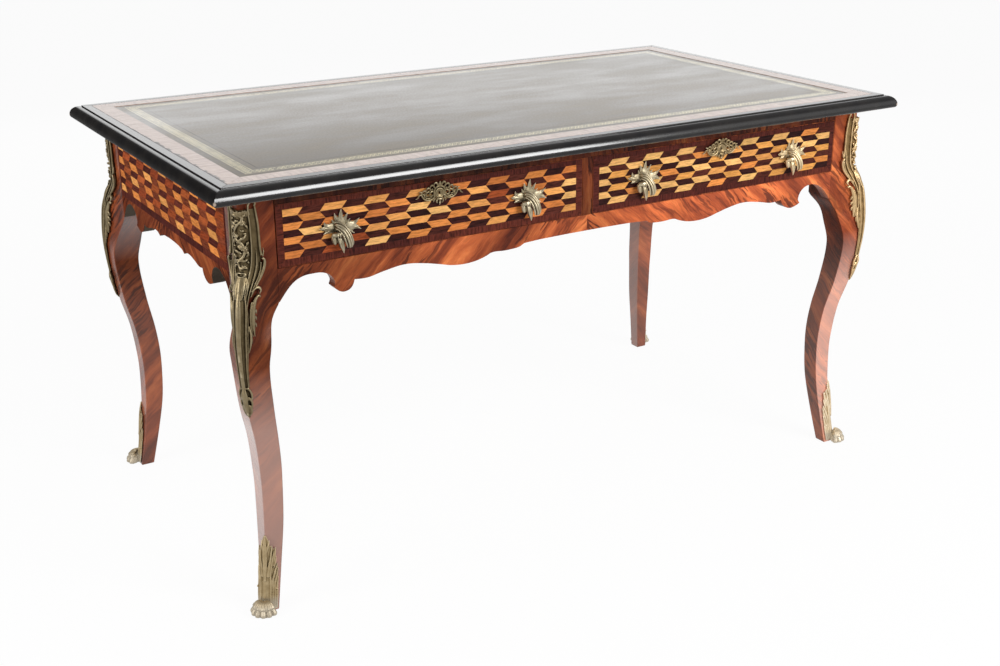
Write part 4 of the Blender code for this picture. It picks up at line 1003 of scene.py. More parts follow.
# Strands of the relief on one arm, as (out from the corner, height, proud, radius) in millimetres
MOUNT_ARM = (
    # Border of the panel
    ((12.6, 722, 4.4, 1.0), (14.6, 706, 4.6, 1.3), (15.4, 680, 4.6, 1.4), (15.2, 655, 4.6, 1.4),
     (13.6, 636, 4.6, 1.4), (10.8, 618, 4.4, 1.3), (7.2, 603, 4.2, 1.1)),
    # Outer edge beyond a smooth hollow, and the ridge that rises in it lower down
    ((24.8, 730, 4.6, 1.4), (27.0, 713, 3.6, 1.8), (29.0, 695, 3.2, 2.1), (29.5, 675, 3.2, 2.1),
     (29.8, 660, 3.4, 2.1), (31.0, 645, 4.2, 2.0)),
    ((23.8, 656, 1.8, 0.8), (23.2, 640, 3.2, 1.5), (21.6, 622, 3.8, 1.8), (18.0, 603, 3.8, 1.7),
     (14.2, 585, 3.6, 1.4), (11.8, 565, 3.4, 1.2)),
    # Leaf at the side, its vein and its thorn
    ((31.0, 641, 6.6, 1.7), (34.0, 639, 6.8, 2.1), (35.2, 630, 5.6, 2.5), (33.4, 618, 4.8, 2.6),
     (29.0, 605.5, 4.2, 2.3), (23.6, 594, 3.8, 1.9), (18.0, 582, 3.4, 1.3)),
    ((29.6, 634, 4.6, 1.1), (28.8, 619, 4.4, 1.3), (24.8, 605, 4.0, 1.3), (19.4, 593, 3.6, 1.1)),
    ((33.2, 643, 4.6, 1.3), (34.9, 650, 4.4, 1.0), (35.0, 657, 3.4, 0.5)),
    # Loop that curls up under the top
    ((15.2, 714, 4.6, 1.3), (13.4, 723, 6.0, 1.3), (15.0, 732, 7.0, 1.35), (19.6, 736.2, 7.4, 1.4),
     (23.8, 735, 7.2, 1.7), (25.2, 730.5, 6.6, 1.6), (23.4, 727.5, 6.0, 1.2)),
    # Scroll at the knee, its leafy tail and the leaf below
    ((18.5, 590, 3.8, 2.0), (26.0, 595.5, 4.8, 2.5), (32.4, 593.6, 5.6, 2.2), (34.8, 589.2, 6.2, 1.7),
     (33.0, 585.6, 6.4, 1.1)),
    ((35.2, 580, 6.0, 1.6), (32.0, 582.6, 5.8, 2.2), (28.0, 579.5, 5.0, 3.0), (24.6, 570, 4.4, 3.7),
     (23.0, 557, 4.2, 4.0), (23.2, 543, 4.2, 3.9), (24.4, 530, 3.6, 2.8), (25.8, 517, 3.0, 0.9)),
    ((20.4, 574, 3.6, 1.2), (18.2, 560, 3.8, 1.8), (18.2, 544, 3.8, 1.8), (20.0, 530, 3.4, 1.4),
     (22.6, 517, 3.0, 0.6)),
    ((24.0, 562, 4.6, 2.3), (28.2, 558.5, 4.6, 1.8), (29.8, 553, 3.8, 0.7)),
    ((24.0, 551, 4.6, 2.3), (28.4, 547.5, 4.6, 1.8), (30.0, 542, 3.8, 0.7)),
    ((24.2, 540, 4.4, 2.1), (28.4, 536.5, 4.4, 1.6), (29.8, 531, 3.6, 0.7)),
    ((15.4, 536, 3.0, 1.3), (18.0, 521, 3.8, 2.6), (16.4, 506, 3.6, 2.3), (12.8, 492, 2.8, 0.8)),
    ((16.6, 521, 3.6, 1.7), (20.0, 514, 3.6, 1.4), (20.0, 507, 3.0, 0.6)),
    # Flutes of the stem
    ((7.2, 588, 4.0, 1.2), (9.2, 566, 4.2, 1.7), (9.0, 530, 4.0, 1.7), (7.6, 495, 3.8, 1.5),
     (5.8, 462, 3.4, 1.3), (4.6, 430, 3.2, 1.1)),
    ((12.6, 566, 3.2, 0.9), (13.4, 548, 3.2, 1.2), (12.4, 515, 3.0, 1.2), (10.2, 487, 2.8, 1.1),
     (8.0, 460, 2.6, 1.0), (6.4, 432, 2.4, 0.9)),
    # Leaves of the bud
    ((3.0, 432, 3.8, 1.5), (7.0, 423, 4.8, 2.0), (7.6, 414, 5.0, 1.8), (5.0, 404, 4.8, 0.8)),
    ((2.2, 415, 4.6, 1.4), (5.6, 407, 5.2, 1.9), (6.0, 399, 5.0, 1.6), (3.8, 390, 4.6, 0.7)),
    ((1.6, 400, 4.6, 1.2), (3.8, 393, 4.8, 1.5), (3.6, 386, 4.2, 1.2), (1.6, 378, 3.4, 0.6)),
)
# Strands on the corner itself: the stem's middle flute, the bud and the panel's winding stalk
MOUNT_MIDDLE = (
    ((0, 590, 4.8, 1.6), (0, 566, 5.4, 2.3), (0, 520, 5.0, 2.2), (0, 480, 4.6, 2.0), (0, 452, 4.2, 1.8),
     (0, 428, 4.2, 1.8)),
    ((0, 430, 4.4, 1.6), (0, 419, 6.6, 2.4), (0, 408, 6.2, 2.2), (0, 396, 5.6, 1.8), (0, 385, 4.4, 1.5),
     (0, 374, 2.6, 0.6)),
    ((0, 716, 4.4, 1.0), (3.6, 709, 4.8, 1.2), (-1.5, 697, 4.8, 1.2), (-4.6, 682, 4.8, 1.2),
     (2.5, 666, 4.8, 1.2), (3.4, 650, 4.8, 1.2), (-2.4, 636, 4.6, 1.1), (0, 625, 4.2, 0.9)),
)
# Flower heads of the panel as (across, height, size), and its leaves as a root and a tip
FLOWERS = ((4.4, 702, 2.2), (-5.0, 683, 2.5), (4.2, 661, 2.5), (-3.6, 640, 2.1))
SPRAYS = (
    (-1, 712, -8, 718), (4, 711, 9.8, 716), (6.5, 699, 11.4, 691), (-2, 699, -10, 704),
    (-7, 690, -11.6, 696), (-8, 681, -11.8, 673), (-3, 677, -9.5, 666), (0, 673, 8.5, 682),
    (7, 664, 11.8, 671), (6.5, 656, 10.6, 647), (1, 652, -8, 660), (-5, 645, -10, 651),
    (-4, 634, -8.4, 627), (2, 638, 8.4, 642), (1.5, 630, 7.0, 625),
)
# Small leaves over the ground of the panel: how many, from what height, how far apart, how long, how far out
GROUND_LEAVES, GROUND_LOW, GROUND_STEP, GROUND_LEAF, GROUND_HALF = 44, 626, 2.05, 5.5, 12.5


def corner_skin(out, height, proud):
    """A point over the leg's outer corner: out from it along the front, or along the side if negative."""
    reach = abs(out)
    outside = through(LEG_OUTSIDE, height)
    bend = MOUNT_ROUND * pi / 4
    if reach <= bend:
        turn = pi / 4 - reach / MOUNT_ROUND
        centre = MOUNT_ROUND - outside
        radius = MOUNT_ROUND + proud
        along, across = centre - radius * sin(turn), centre - radius * cos(turn)
    else:
        along = MOUNT_ROUND - outside + reach - bend
        across = -face_swell(along, height) - proud
    if out < 0:
        along, across = across, along
    return along - HALF_LENGTH, across - HALF_DEPTH, height


def strands(name, runs):
    """Tapered rods as one mesh: each run is a list of (x, y, z, radius) knots on a smooth curve."""
    curve = bpy.data.curves.new(name, "CURVE")
    curve.dimensions = "3D"
    curve.bevel_depth = 1.0
    curve.bevel_resolution = 2
    curve.resolution_u = 5
    curve.use_fill_caps = True
    for run in runs:
        spline = curve.splines.new("BEZIER")
        spline.bezier_points.add(len(run) - 1)
        spline.radius_interpolation = "CARDINAL"
        for knot, (x, y, z, radius) in zip(spline.bezier_points, run):
            knot.co = (x * MM, y * MM, z * MM)
            knot.radius = radius * MM
            knot.handle_left_type = knot.handle_right_type = "AUTO"
    rods = linked(name, curve)
    only(rods)
    bpy.ops.object.convert(target="MESH")
    return bpy.context.object


def flower(x, y, size):
    """A small flower head of six petals round a bead, as short strands."""
    petals = [
        ((x, y, 4.6, size * 0.4), (x + 1.6 * size * cos(a), y + 1.6 * size * sin(a), 6.4, size * 0.5))
        for a in (i * pi / 3 for i in range(6))
    ]
    return petals + [((x, y, 5.6, size * 0.5), (x, y, 7.4, size * 0.34))]


def on_both_arms(runs):
    """Strands of one arm of a corner casting, and the same strands on its other arm."""
    return [[(side * out, *rest) for out, *rest in run] for side in (1, -1) for run in runs]


def bedded(runs, bed):
    """The strands, and under each a core half way down to the bed, so that none of them hangs free."""
    cores = []
    for run in runs:
        halves = [(x, y, (proud + bed) / 2, radius) for x, y, proud, radius in run]
        cores.append([(x, y, half, min(radius, half - 0.2)) for x, y, half, radius in halves])
    return list(runs) + cores


def leaflet(x, y, tip_x, tip_y, root, belly, tip, rise=0.0):
    """A small leaf from its root to its tip; root, belly and tip are (proud, radius)."""
    return ((x, y, *root), ((x + tip_x) / 2, (y + tip_y) / 2 + rise, *belly), (tip_x, tip_y, *tip))


def mount_runs():
    """All strands of one mount: both arms, the panel's flowers and leaves, its fan and its fringe."""
    runs = list(MOUNT_MIDDLE) + on_both_arms(MOUNT_ARM)
    for x, y, size in FLOWERS:
        runs += flower(x, y, size)
    runs += [leaflet(*spray, (4.4, 0.9), (5.6, 1.9), (4.6, 0.5), 1.4) for spray in SPRAYS]
    draw = random.Random(5)
    for i in range(GROUND_LEAVES):
        x, y, turn = draw.uniform(-11, 11), GROUND_LOW + GROUND_STEP * i, draw.uniform(0.2, 2.9)
        tip_x, tip_y = x + GROUND_LEAF * cos(turn), y + GROUND_LEAF * sin(turn)
        if abs(tip_x) < GROUND_HALF:
            runs.append(leaflet(x, y, tip_x, tip_y, (2.8, 0.8), (4.2, 1.7), (3.6, 0.5)))
    for i in range(-3, 4):
        tip = (i * 2.7, 582 - abs(i), 4.6, 0.6)
        runs.append(((i * 1.7, 614, 4.4, 0.9), (i * 3.2, 602, 5.8, 1.35), tip))
    runs.append([(3.6 * sin(i * pi / 4), 618 + 3.2 * cos(i * pi / 4), 5.4, 1.0) for i in range(9)])
    for i in range(-6, 7):
        runs.append(((i * 2.2, 711, 3.2, 1.0), (i * 2.2, 717, 4.8, 1.2), (i * 2.3, 722 - i % 2, 6.0, 0.7)))
    return runs


def cast(parts, name, voxel, kept):
    """Fuses the parts of a casting into one skin, as in its wax, and keeps a share of the faces."""
    only(parts[0])
    for part in parts[1:]:
        part.select_set(True)
    bpy.ops.object.join()
    casting = bpy.context.object
    casting.name = casting.data.name = name
    worked(casting, "REMESH", mode="VOXEL", voxel_size=voxel)
    worked(casting, "SMOOTH", factor=0.5, iterations=2)
    worked(casting, "DECIMATE", ratio=kept)
    casting.data.validate()
    bpy.ops.object.shade_smooth()
    return casting


def plate_place(plate, low, high, thickness):
    """The thin plate behind the relief of a corner casting, rolled flat: its face first, then its back."""
    def place(u, v):
        height = low + (high - low) * v
        half = through(plate, height)
        out = half * (4 * u - 1) if u <= 0.5 else half * (3 - 4 * u)
        return out * MM, height * MM, 0.0 if 0.501 < u < 0.999 else thickness
    return place


def wrap_corner(piece):
    """Bends a flat piece, X across and Y up, over the corner of the front left leg."""
    for point in piece.data.vertices:
        out, height, proud = point.co
        point.co = corner_skin(out, height, proud + MOUNT_GAP)


def brass_finish(name, hollow, low, face, crest, hollow_shade, dull, raised=False, lit_end_tint=(2.0, 1.80, 1.55)):
    """Cast brass, lacquered and browned in its hollows, rubbed brighter on what stands proud.

    Its hollows get painted shade from ambient occlusion, heaviest at the left end, and towards the right end
    it is painted lighter, up to a tint given for that end. It is dusty at the floor.
    Where it is raised, the height of the relief also tells a hollow from a crest.
    """
    finish = new_finish(name, Metallic=1.0)
    tree = finish.node_tree
    place = place_on(finish)
    film = noise(place, 75.0, 4.0, 0.6)
    pits = noise(place, 900.0, 3.0, 0.6)
    point = wire(tree, "NewGeometry").outputs["Pointiness"]
    worn = plus(point, times(less(film, 0.5), 0.10))
    if raised:
        proud = wire(tree, "Attribute", attribute_name="proud").outputs["Fac"]
        worn = plus(worn, graded(proud, 1.8, 6.0, -0.034, 0.014))
    colour = ramp(worn, (0.42, hollow), (0.475, low), (0.525, face), (0.60, crest))
    x, _, z = split(place)
    rightward = graded(x, -HALF_LENGTH, HALF_LENGTH, 0.0, 1.0)
    # Painted shade: darker in the hollows that ambient occlusion finds, heaviest at the left end of the
    # table.
    open_air = wire(tree, "AmbientOcclusion", (1.0, 1.0, 1.0, 1.0), HOLLOW_REACH, samples=6).outputs["AO"]
    thin = graded(rightward, 0.0, 1.0, hollow_shade, min(hollow_shade + 0.55, 1.0))
    colour = shaded(colour, graded(open_air, 0.30, 0.88, thin, 1.0))
    # Painted light: lighter towards the right end of the table, up to the tint given for that end.
    rubbed = ramp(rightward, (0.0, 0.84), (0.45, 1.15), (0.70, (1.45, 1.40, 1.36)), (1.0, lit_end_tint))
    colour = shaded(colour, rubbed)
    colour = mixed(graded(z, 0.030, 0.018, 0.0, 0.65), colour, FLOOR_DUST)
    paint(finish, Base_Color=colour, Roughness=ramp(worn, (0.42, 0.60 + dull), (0.56, 0.34 + dull)))
    paint(finish, Normal=bumped(pits, 0.12, 0.0003))
    return finish


mount_brass = brass_finish(
    "brass_mounts",
    (0.055, 0.039, 0.018), (0.140, 0.104, 0.053), (0.27, 0.212, 0.122), (0.52, 0.44, 0.29),
    hollow_shade=0.34, dull=0.04, raised=True, lit_end_tint=(2.3, 2.05, 1.85),
)
mount_shape = plate_place(MOUNT_PLATE, MOUNT_LOW, MOUNT_HIGH, MOUNT_THICKNESS)
mount_plate = rolled("mount_plate", PLATE_STEPS, MOUNT_STEPS, mount_shape)
mount_relief = strands("mount_relief", bedded(mount_runs(), MOUNT_BED))
first_mount = cast((mount_plate, mount_relief), "mount_pattern", CASTING_VOXEL, kept=0.45)
proud = first_mount.data.attributes.new("proud", "FLOAT", "POINT")
for point in first_mount.data.vertices:
    proud.data[point.index].value = point.co.z / MM
wrap_corner(first_mount)
for corner, x_side, y_side in CORNERS:
    mount = in_corner(first_mount, f"cast_mount_{corner}", x_side, y_side)
    settle(mount, "table", "aged_brass", mount_brass, f"corner_mount_{corner}")
bpy.data.objects.remove(first_mount)


# Sabots
# Each foot stands in a cast brass shoe: a lion's paw under a fluted sleeve of acanthus whose leaf tips run
# up the corner of the leg. A pin on each face holds it.
SABOT_LOW, SABOT_HIGH = 5, 141
SABOT_STEPS = 50
SABOT_THICKNESS = 0.0024
SABOT_BED = 1.8
SABOT_PLATE = (
    (5, 22.5), (60, 22.0), (78, 21.4), (83, 20.0), (87, 15.6),
    (110, 15.0), (117, 11.6), (122, 5.8), (132, 3.8), (141, 1.2),
)
PAW_BEYOND = 5.5
SABOT_ARM = (
    ((7.0, 8, 2.8, 1.9), (7.2, 50, 3.2, 1.9), (6.2, 72, 4.0, 1.8), (8.8, 92, 4.4, 1.9),
     (12.8, 110, 4.0, 0.9)),
    ((3.0, 66, 4.0, 1.4), (4.6, 88, 4.4, 1.7), (7.4, 106, 4.2, 1.6), (9.4, 121, 3.2, 0.6)),
    ((1.4, 112, 3.8, 1.1), (3.6, 122, 3.6, 1.3), (5.4, 132, 2.6, 0.5)),
    ((11.0, 84, 3.2, 1.8), (14.0, 102, 3.8, 2.2), (16.4, 117, 3.4, 0.9)),
    ((12.6, 80, 3.0, 1.6), (15.2, 89, 3.6, 1.9), (17.4, 100, 3.0, 0.7)),
    ((10.8, 8, 1.8, 2.2), (11.6, 40, 2.2, 2.4), (10.8, 56, 2.6, 2.4), (14.2, 70, 3.2, 2.4),
     (19.4, 87, 3.2, 0.9)),
    ((14.8, 8, 1.7, 2.2), (16.0, 34, 2.0, 2.4), (15.0, 50, 2.3, 2.4), (18.0, 64, 2.8, 2.2),
     (20.8, 78, 3.0, 1.0)),
    ((19.0, 8, 1.6, 2.2), (20.2, 30, 1.9, 2.3), (19.4, 46, 2.1, 2.3), (21.4, 62, 2.4, 1.1)),
    ((18.6, 42, 4.6, 1.9), (18.6, 42, 6.6, 1.4)),
)
SABOT_MIDDLE = (
    ((0, 58, 3.2, 1.2), (0, 80, 4.4, 1.9), (0, 104, 4.6, 2.1), (0, 124, 4.0, 1.6), (0, 141, 2.4, 0.6)),
)
# Strands of the paw as (out from the paw's middle, height, radius)
TOE = ((6, 16, 7.0), (13.5, 14.5, 5.6), (18.2, 10.2, 5.0), (20.6, 5.6, 5.3), (21.6, 2.6, 3.8))
KNUCKLE = ((10.0, 20.0, 4.4), (15.0, 18.0, 4.8), (18.4, 14.4, 4.2))
PAD = ((-4, 11, 12.0), (8, 9.5, 10.5), (14.5, 6.5, 7.5), (19.8, 4.6, 4.8))
TUFT = ((4, 25, 1.6), (11, 24.5, 2.2), (17.6, 18.5, 2.0), (20.6, 13.5, 0.8))


def paw_run(turn, knots):
    """A strand of the paw, swung from the diagonal of the corner; knots are (out, height, radius)."""
    x_out, y_out = -cos(pi / 4 + turn), -sin(pi / 4 + turn)
    x = -HALF_LENGTH / MM - PAW_BEYOND
    y = -HALF_DEPTH / MM - PAW_BEYOND
    return [(x + out * x_out, y + out * y_out, height, radius) for out, height, radius in knots]


foot_brass = brass_finish(
    "brass_feet",
    (0.13, 0.085, 0.036), (0.34, 0.248, 0.124), (0.57, 0.450, 0.270), (0.74, 0.64, 0.47),
    hollow_shade=0.48, dull=0.16, lit_end_tint=(1.5, 1.6, 1.95),
)
sabot_shape = plate_place(SABOT_PLATE, SABOT_LOW, SABOT_HIGH, SABOT_THICKNESS)
sabot_plate = rolled("sabot_plate", PLATE_STEPS, SABOT_STEPS, sabot_shape)
sleeve = strands("sabot_sleeve", bedded(list(SABOT_MIDDLE) + on_both_arms(SABOT_ARM), SABOT_BED))
for flat in (sabot_plate, sleeve):
    wrap_corner(flat)
toes = [paw_run(radians(29) * (i - 2.5), knots) for i in range(6) for knots in (TOE, KNUCKLE)]
tufts = [paw_run(radians(14.5) * (i - 5), knots) for i in range(11) for knots in (PAD, TUFT)]
paw = strands("sabot_paw", toes + tufts)
first_sabot = cast((sabot_plate, sleeve, paw), "sabot_pattern", CASTING_VOXEL, kept=0.5)
for point in first_sabot.data.vertices:
    point.co.z = max(point.co.z, 0.0)
for corner, x_side, y_side in CORNERS:
    sabot = in_corner(first_sabot, f"cast_sabot_{corner}", x_side, y_side)
    settle(sabot, "table", "aged_brass", foot_brass, f"sabot_{corner}")
bpy.data.objects.remove(first_sabot)


# Handles
# Two fixed pulls on each drawer are brass castings: a plate of pointed leaves from which a fluted stalk
# curls out and down to one side of a hanging bud. All four are cast to the same hand.
HANDLE_VOXEL = 0.0005
LEAF_FLAT = 0.36
HANDLE_X = {"near": 0.127, "far": 0.492}
HANDLE_Z = 0.6595
# Leaf blades as (across, up, proud, radius) in millimetres from the handle's middle
LEAF_BODIES = (
    ((0, 0, 1, 9), (0, 12, 3, 9.5), (0, 21, 4.5, 7.5), (0, 29, 6, 3.5)),
    ((-6, 8, 1, 6), (-16, 9.5, 3.5, 8.6), (-24, 10.5, 5, 7.4), (-30, 11.5, 6, 4.0)),
    ((6, 8, 1, 6), (15, 9, 3.5, 8.6), (22.5, 9, 5, 7.4), (27.5, 9, 6, 4.0)),
)
LEAF_TIPS = (
    ((0, 18, 3, 5), (0.4, 29, 6, 4.0), (0.3, 36, 9, 2.2), (0.3, 40.8, 12, 0.4)),
    ((-5, 17, 3, 5), (-8.6, 26, 6, 3.4), (-10.8, 31.5, 9, 1.8), (-12.2, 35.4, 12, 0.4)),
    ((-8, 12, 3, 5), (-12.6, 18.5, 6, 3.2), (-15.4, 22.4, 9, 1.6), (-17.4, 25.4, 12, 0.4)),
    ((5, 16, 3, 5), (8.4, 24.5, 6, 3.2), (10.6, 29.4, 9, 1.6), (12.0, 33.0, 12, 0.4)),
    ((7, 11, 3, 5), (11.6, 16.8, 6, 3.0), (14.0, 20.0, 9, 1.5), (15.8, 22.6, 12, 0.4)),
    ((-21, 12, 4, 5), (-27.0, 16, 7, 3.4), (-30.0, 20, 11, 1.7), (-31.5, 23.4, 16, 0.4)),
    ((-25, 11, 4, 5), (-33.0, 11, 7, 3.2), (-37.2, 12, 11, 1.5), (-40.2, 13.2, 15, 0.4)),
    ((-18, 7, 4, 5), (-25.5, 4.6, 6, 3.4), (-30.0, 3.2, 9, 1.6), (-32.8, 2.6, 12, 0.4)),
    ((19, 11, 4, 5), (26.0, 14.6, 7, 3.4), (29.6, 18.4, 11, 1.6), (31.8, 21.4, 16, 0.4)),
    ((21, 8, 4, 5), (28.4, 5.8, 7, 3.4), (32.0, 3.6, 10, 1.6), (34.6, 2.0, 13, 0.4)),
    ((12, 4, 4, 5), (17.4, 0.6, 6, 3.2), (20.4, -1.8, 9, 1.5), (22.6, -3.4, 12, 0.4)),
)
# The stalk's path as (across, up, proud, swell), and its flutes as (aside, lower, radius)
STALK = (
    (-11, 14, 4, 0.75), (-9.6, 15, 9, 0.9), (-3.8, 11, 16, 1.0), (1.3, 2, 21.5, 1.05),
    (5.2, -9, 23.5, 1.05), (7.4, -17, 22, 0.95), (8.0, -22, 19, 0.7),
)
STALK_FLUTES = ((-5.6, -3.0, 1.8), (-1.9, 0.0, 2.0), (1.9, 0.0, 2.0), (5.6, -3.0, 1.8))
STALK_CORE = ((0.0, -3.6, 4.0),)
BUD = (
    # Knob, the lobe beside it and the hanging drop
    ((-19.5, 0.0, 11, 3.6), (-13, 1.2, 14.5, 4.6), (-6.5, 1.4, 15, 4.2)),
    ((-18.0, 0, 9, 4.0), (-17.4, -7, 10.5, 4.6), (-15.6, -13.5, 10, 3.8), (-14.4, -17, 9, 1.4)),
    ((-9.0, 0, 4, 5.0), (-8.0, -7, 11.5, 5.4), (-5.4, -15.5, 12, 5.4), (-2.8, -23, 11, 4.2),
     (-0.8, -29, 9.6, 2.4), (0.2, -33.4, 9, 0.6)),
    ((-10.6, -5, 14, 2.0), (-9.0, -13, 15.6, 2.2), (-6.2, -21, 14.2, 1.8), (-3.4, -27.5, 11.6, 0.7)),
    ((-5.0, -4, 14, 2.0), (-3.6, -12, 15.4, 2.2), (-1.8, -20, 14, 1.8), (-0.6, -27, 11.4, 0.7)),
    ((-15.5, 3.6, 15, 1.5), (-13.4, 0.4, 18, 1.7), (-12.6, -4.6, 17, 1.0)),
    ((-11.0, 4.4, 16, 1.5), (-9.2, 0.8, 18.6, 1.7), (-8.4, -4.4, 17, 1.0)),
)


def fluted(path, flutes):
    """Strands side by side along one path: each flute is (aside, lower, radius) from it."""
    runs = []
    for aside, lower, radius in flutes:
        run = []
        for i, (x, y, z, swell) in enumerate(path):
            before, after = path[max(i - 1, 0)], path[min(i + 1, len(path) - 1)]
            heading = Vector((after[0] - before[0], after[1] - before[1])).normalized()
            aside_x, aside_y = heading.y * aside * swell, heading.x * aside * swell
            run.append((x - aside_x, y + aside_y, z + lower, radius * swell))
        runs.append(run)
    return runs


def ribs_on(blades):
    """A thin rib along the middle of each flattened leaf blade."""
    return [
        [(x, y, LEAF_FLAT * (z + radius) + 0.2, 0.55 + 0.05 * radius) for x, y, z, radius in blade]
        for blade in blades
    ]


def pinned_on(pattern, name, node, x, z):
    """A copy of a casting for a drawer front, its back where the back of the node is."""
    fitting = linked(name, pattern.data.copy())
    at = Matrix.Translation((x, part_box(node)[1].y - VENEER_PROUD, z))
    fitting.data.transform(at @ Matrix.Rotation(radians(90), 4, "X"))
    return fitting


def flat_backed(casting):
    """Presses the back of a casting flat, so that it lies on a drawer front."""
    for point in casting.data.vertices:
        point.co.z = max(point.co.z, 0.0)


fitting_brass = brass_finish(
    "brass_fittings",
    (0.045, 0.034, 0.016), (0.19, 0.152, 0.088), (0.43, 0.375, 0.262), (0.78, 0.71, 0.56),
    hollow_shade=0.25, dull=0.0,
)
leaves = strands("handle_leaves", LEAF_BODIES + LEAF_TIPS)
leaves.data.transform(Matrix.Diagonal((1.0, 1.0, LEAF_FLAT, 1.0)))
grip = strands("handle_grip", fluted(STALK, STALK_FLUTES + STALK_CORE) + list(BUD) + ribs_on(LEAF_TIPS))
first_handle = cast((leaves, grip), "handle_pattern", HANDLE_VOXEL, kept=0.6)
flat_backed(first_handle)
for hand, x_side in (("left", -1), ("right", 1)):
    for side in ("left", "right"):
        node = f"{hand}_drawer_{side}_handle"
        x = x_side * HANDLE_X["far" if side == hand else "near"]
        pull = pinned_on(first_handle, f"{hand}_drawer_{side}_pull", node, x, HANDLE_Z)
        settle(pull, f"{hand}_drawer", "aged_brass", fitting_brass, node)
bpy.data.objects.remove(first_handle)


# Escutcheons
# Each keyhole has a small pierced cartouche of cast brass: a round boss between long C-scrolls under a
# stepped crest of curled leaves, with three drops below, pinned to the drawer front.
ESCUTCHEON_X, ESCUTCHEON_Z = 0.308, 0.701
CARTOUCHE_WEIGHT = 1.25
ESCUTCHEON_ARM = (
    # Long lower scroll and its curled end
    ((9, -4, 3.4, 1.5), (13, -8.2, 3.4, 1.5), (20, -10.4, 3.4, 1.4), (27.5, -8.6, 3.4, 1.3),
     (32.5, -4, 3.4, 1.2), (35.5, 0.6, 3.6, 1.1), (39, 0.4, 3.8, 1.1), (41.6, -3.4, 3.6, 1.0),
     (45.6, -5.6, 3.0, 0.6)),
    # Stepped crest of curled leaves
    ((3, 12, 3.0, 1.6), (5.4, 17.5, 4.4, 1.7), (9.4, 18.6, 5.2, 1.4), (10.6, 15.6, 4.4, 0.9)),
    ((9.5, 10, 3.0, 1.5), (13, 14.6, 4.4, 1.6), (17.2, 14.6, 5.0, 1.3), (18, 11.6, 4.2, 0.9)),
    ((17, 6.5, 3.0, 1.5), (20.4, 10.8, 4.4, 1.5), (24.6, 10.4, 5.0, 1.2), (25, 7.4, 4.2, 0.8)),
    ((25, 2.5, 3.0, 1.4), (28, 6.8, 4.2, 1.4), (32, 7.0, 4.8, 1.1), (33.4, 4.2, 4.2, 0.7)),
    ((33.4, 1.0, 3.0, 1.2), (35.4, 5.0, 3.8, 1.1), (39, 6.0, 3.6, 0.6)),
    # Tracery between them
    ((11, 4, 2.2, 1.3), (15.5, 3.6, 3.0, 1.3), (19, 0.4, 3.2, 1.2), (17.6, -3.6, 3.2, 1.1),
     (14, -3.4, 3.2, 0.8)),
    ((19, 3.6, 2.2, 1.2), (23.6, 3.4, 3.0, 1.3), (26.4, 0, 3.2, 1.2), (24.6, -3.6, 3.2, 1.0),
     (21.6, -2.6, 3.2, 0.7)),
    ((27, 0.6, 2.4, 1.1), (29.4, -2.6, 3.2, 1.2), (27.2, -5.6, 3.2, 0.8)),
    ((12, 8, 2.0, 1.3), (20, 5.4, 2.2, 1.3), (29, 1.4, 2.2, 1.2), (34, -1, 2.4, 1.0)),
    ((11, -1.5, 2.0, 1.3), (18, -7.2, 2.0, 1.2), (26, -6.6, 2.0, 1.0)),
    # Drop beside the middle one, and the leaf that carries it
    ((5, -9.6, 3.6, 1.4), (6.2, -13.6, 3.8, 1.5), (4.6, -17.4, 3.2, 0.7)),
    ((8.5, -7.6, 3.2, 1.3), (11.2, -11, 3.4, 1.3), (11.4, -14.6, 3.0, 0.6)),
)
ESCUTCHEON_MIDDLE = (
    ((0, 12, 3.0, 1.8), (0, 17, 4.6, 1.8), (0.6, 20.8, 5.2, 1.2)),
    ((-5.4, -8.4, 4.2, 1.4), (0, -10.0, 5.4, 2.0), (5.4, -8.4, 4.2, 1.4)),
    ((0, -11, 3.8, 1.7), (0, -16.4, 4.0, 1.8), (0, -20.8, 3.0, 0.7)),
    ((-10.2, -3, 3.0, 1.3), (-9.4, 7, 3.4, 1.4), (0, 12.2, 3.8, 1.5), (9.4, 7, 3.4, 1.4),
     (10.2, -3, 3.0, 1.3)),
)
BOSS_RINGS = ((7.6, 7.6, 3.0, 1.8), (4.9, 5.2, 2.4, 1.7), (3.0, 3.6, 2.0, 1.4))
cartouche_runs = [
    [(x, y, z, radius * CARTOUCHE_WEIGHT) for x, y, z, radius in run]
    for run in list(ESCUTCHEON_MIDDLE) + on_both_arms(ESCUTCHEON_ARM)
]
cartouche_runs += [
    [(wide * cos(i * pi / 8), tall * sin(i * pi / 8), proud, radius) for i in range(17)]
    for wide, tall, proud, radius in BOSS_RINGS
]
cartouche_brass = brass_finish(
    "brass_cartouches",
    (0.024, 0.016, 0.007), (0.090, 0.066, 0.032), (0.24, 0.188, 0.106), (0.66, 0.58, 0.42),
    hollow_shade=0.15, dull=0.0,
)
first_cartouche = cast((strands("cartouche", cartouche_runs),), "cartouche_pattern", HANDLE_VOXEL, kept=0.7)
flat_backed(first_cartouche)
for hand, x_side in (("left", -1), ("right", 1)):
    node = f"{hand}_drawer_escutcheon"
    x = x_side * ESCUTCHEON_X
    cartouche = pinned_on(first_cartouche, f"{hand}_drawer_cartouche", node, x, ESCUTCHEON_Z)
    settle(cartouche, f"{hand}_drawer", "aged_brass", cartouche_brass, node)
bpy.data.objects.remove(first_cartouche)


# Floor, light and camera
# A pale floor under an even pale surround, soft lamps ahead of the table and at its left end, a wide one
# behind it that the polished top mirrors, and a camera at the photograph's place.
FLOOR_SIZE = 30.0
FLOOR_WHITE = 0.95
FLOOR_GREY = (0.86, 0.86, 0.86, 1.0)
WHITE = (1.0, 1.0, 1.0, 1.0)
# Strength of the surround as it lights the object, as a gloss mirrors it and as the camera sees it
SURROUND_FILL, SURROUND_MIRRORED, SURROUND_SEEN = 0.26, 0.55, 0.75

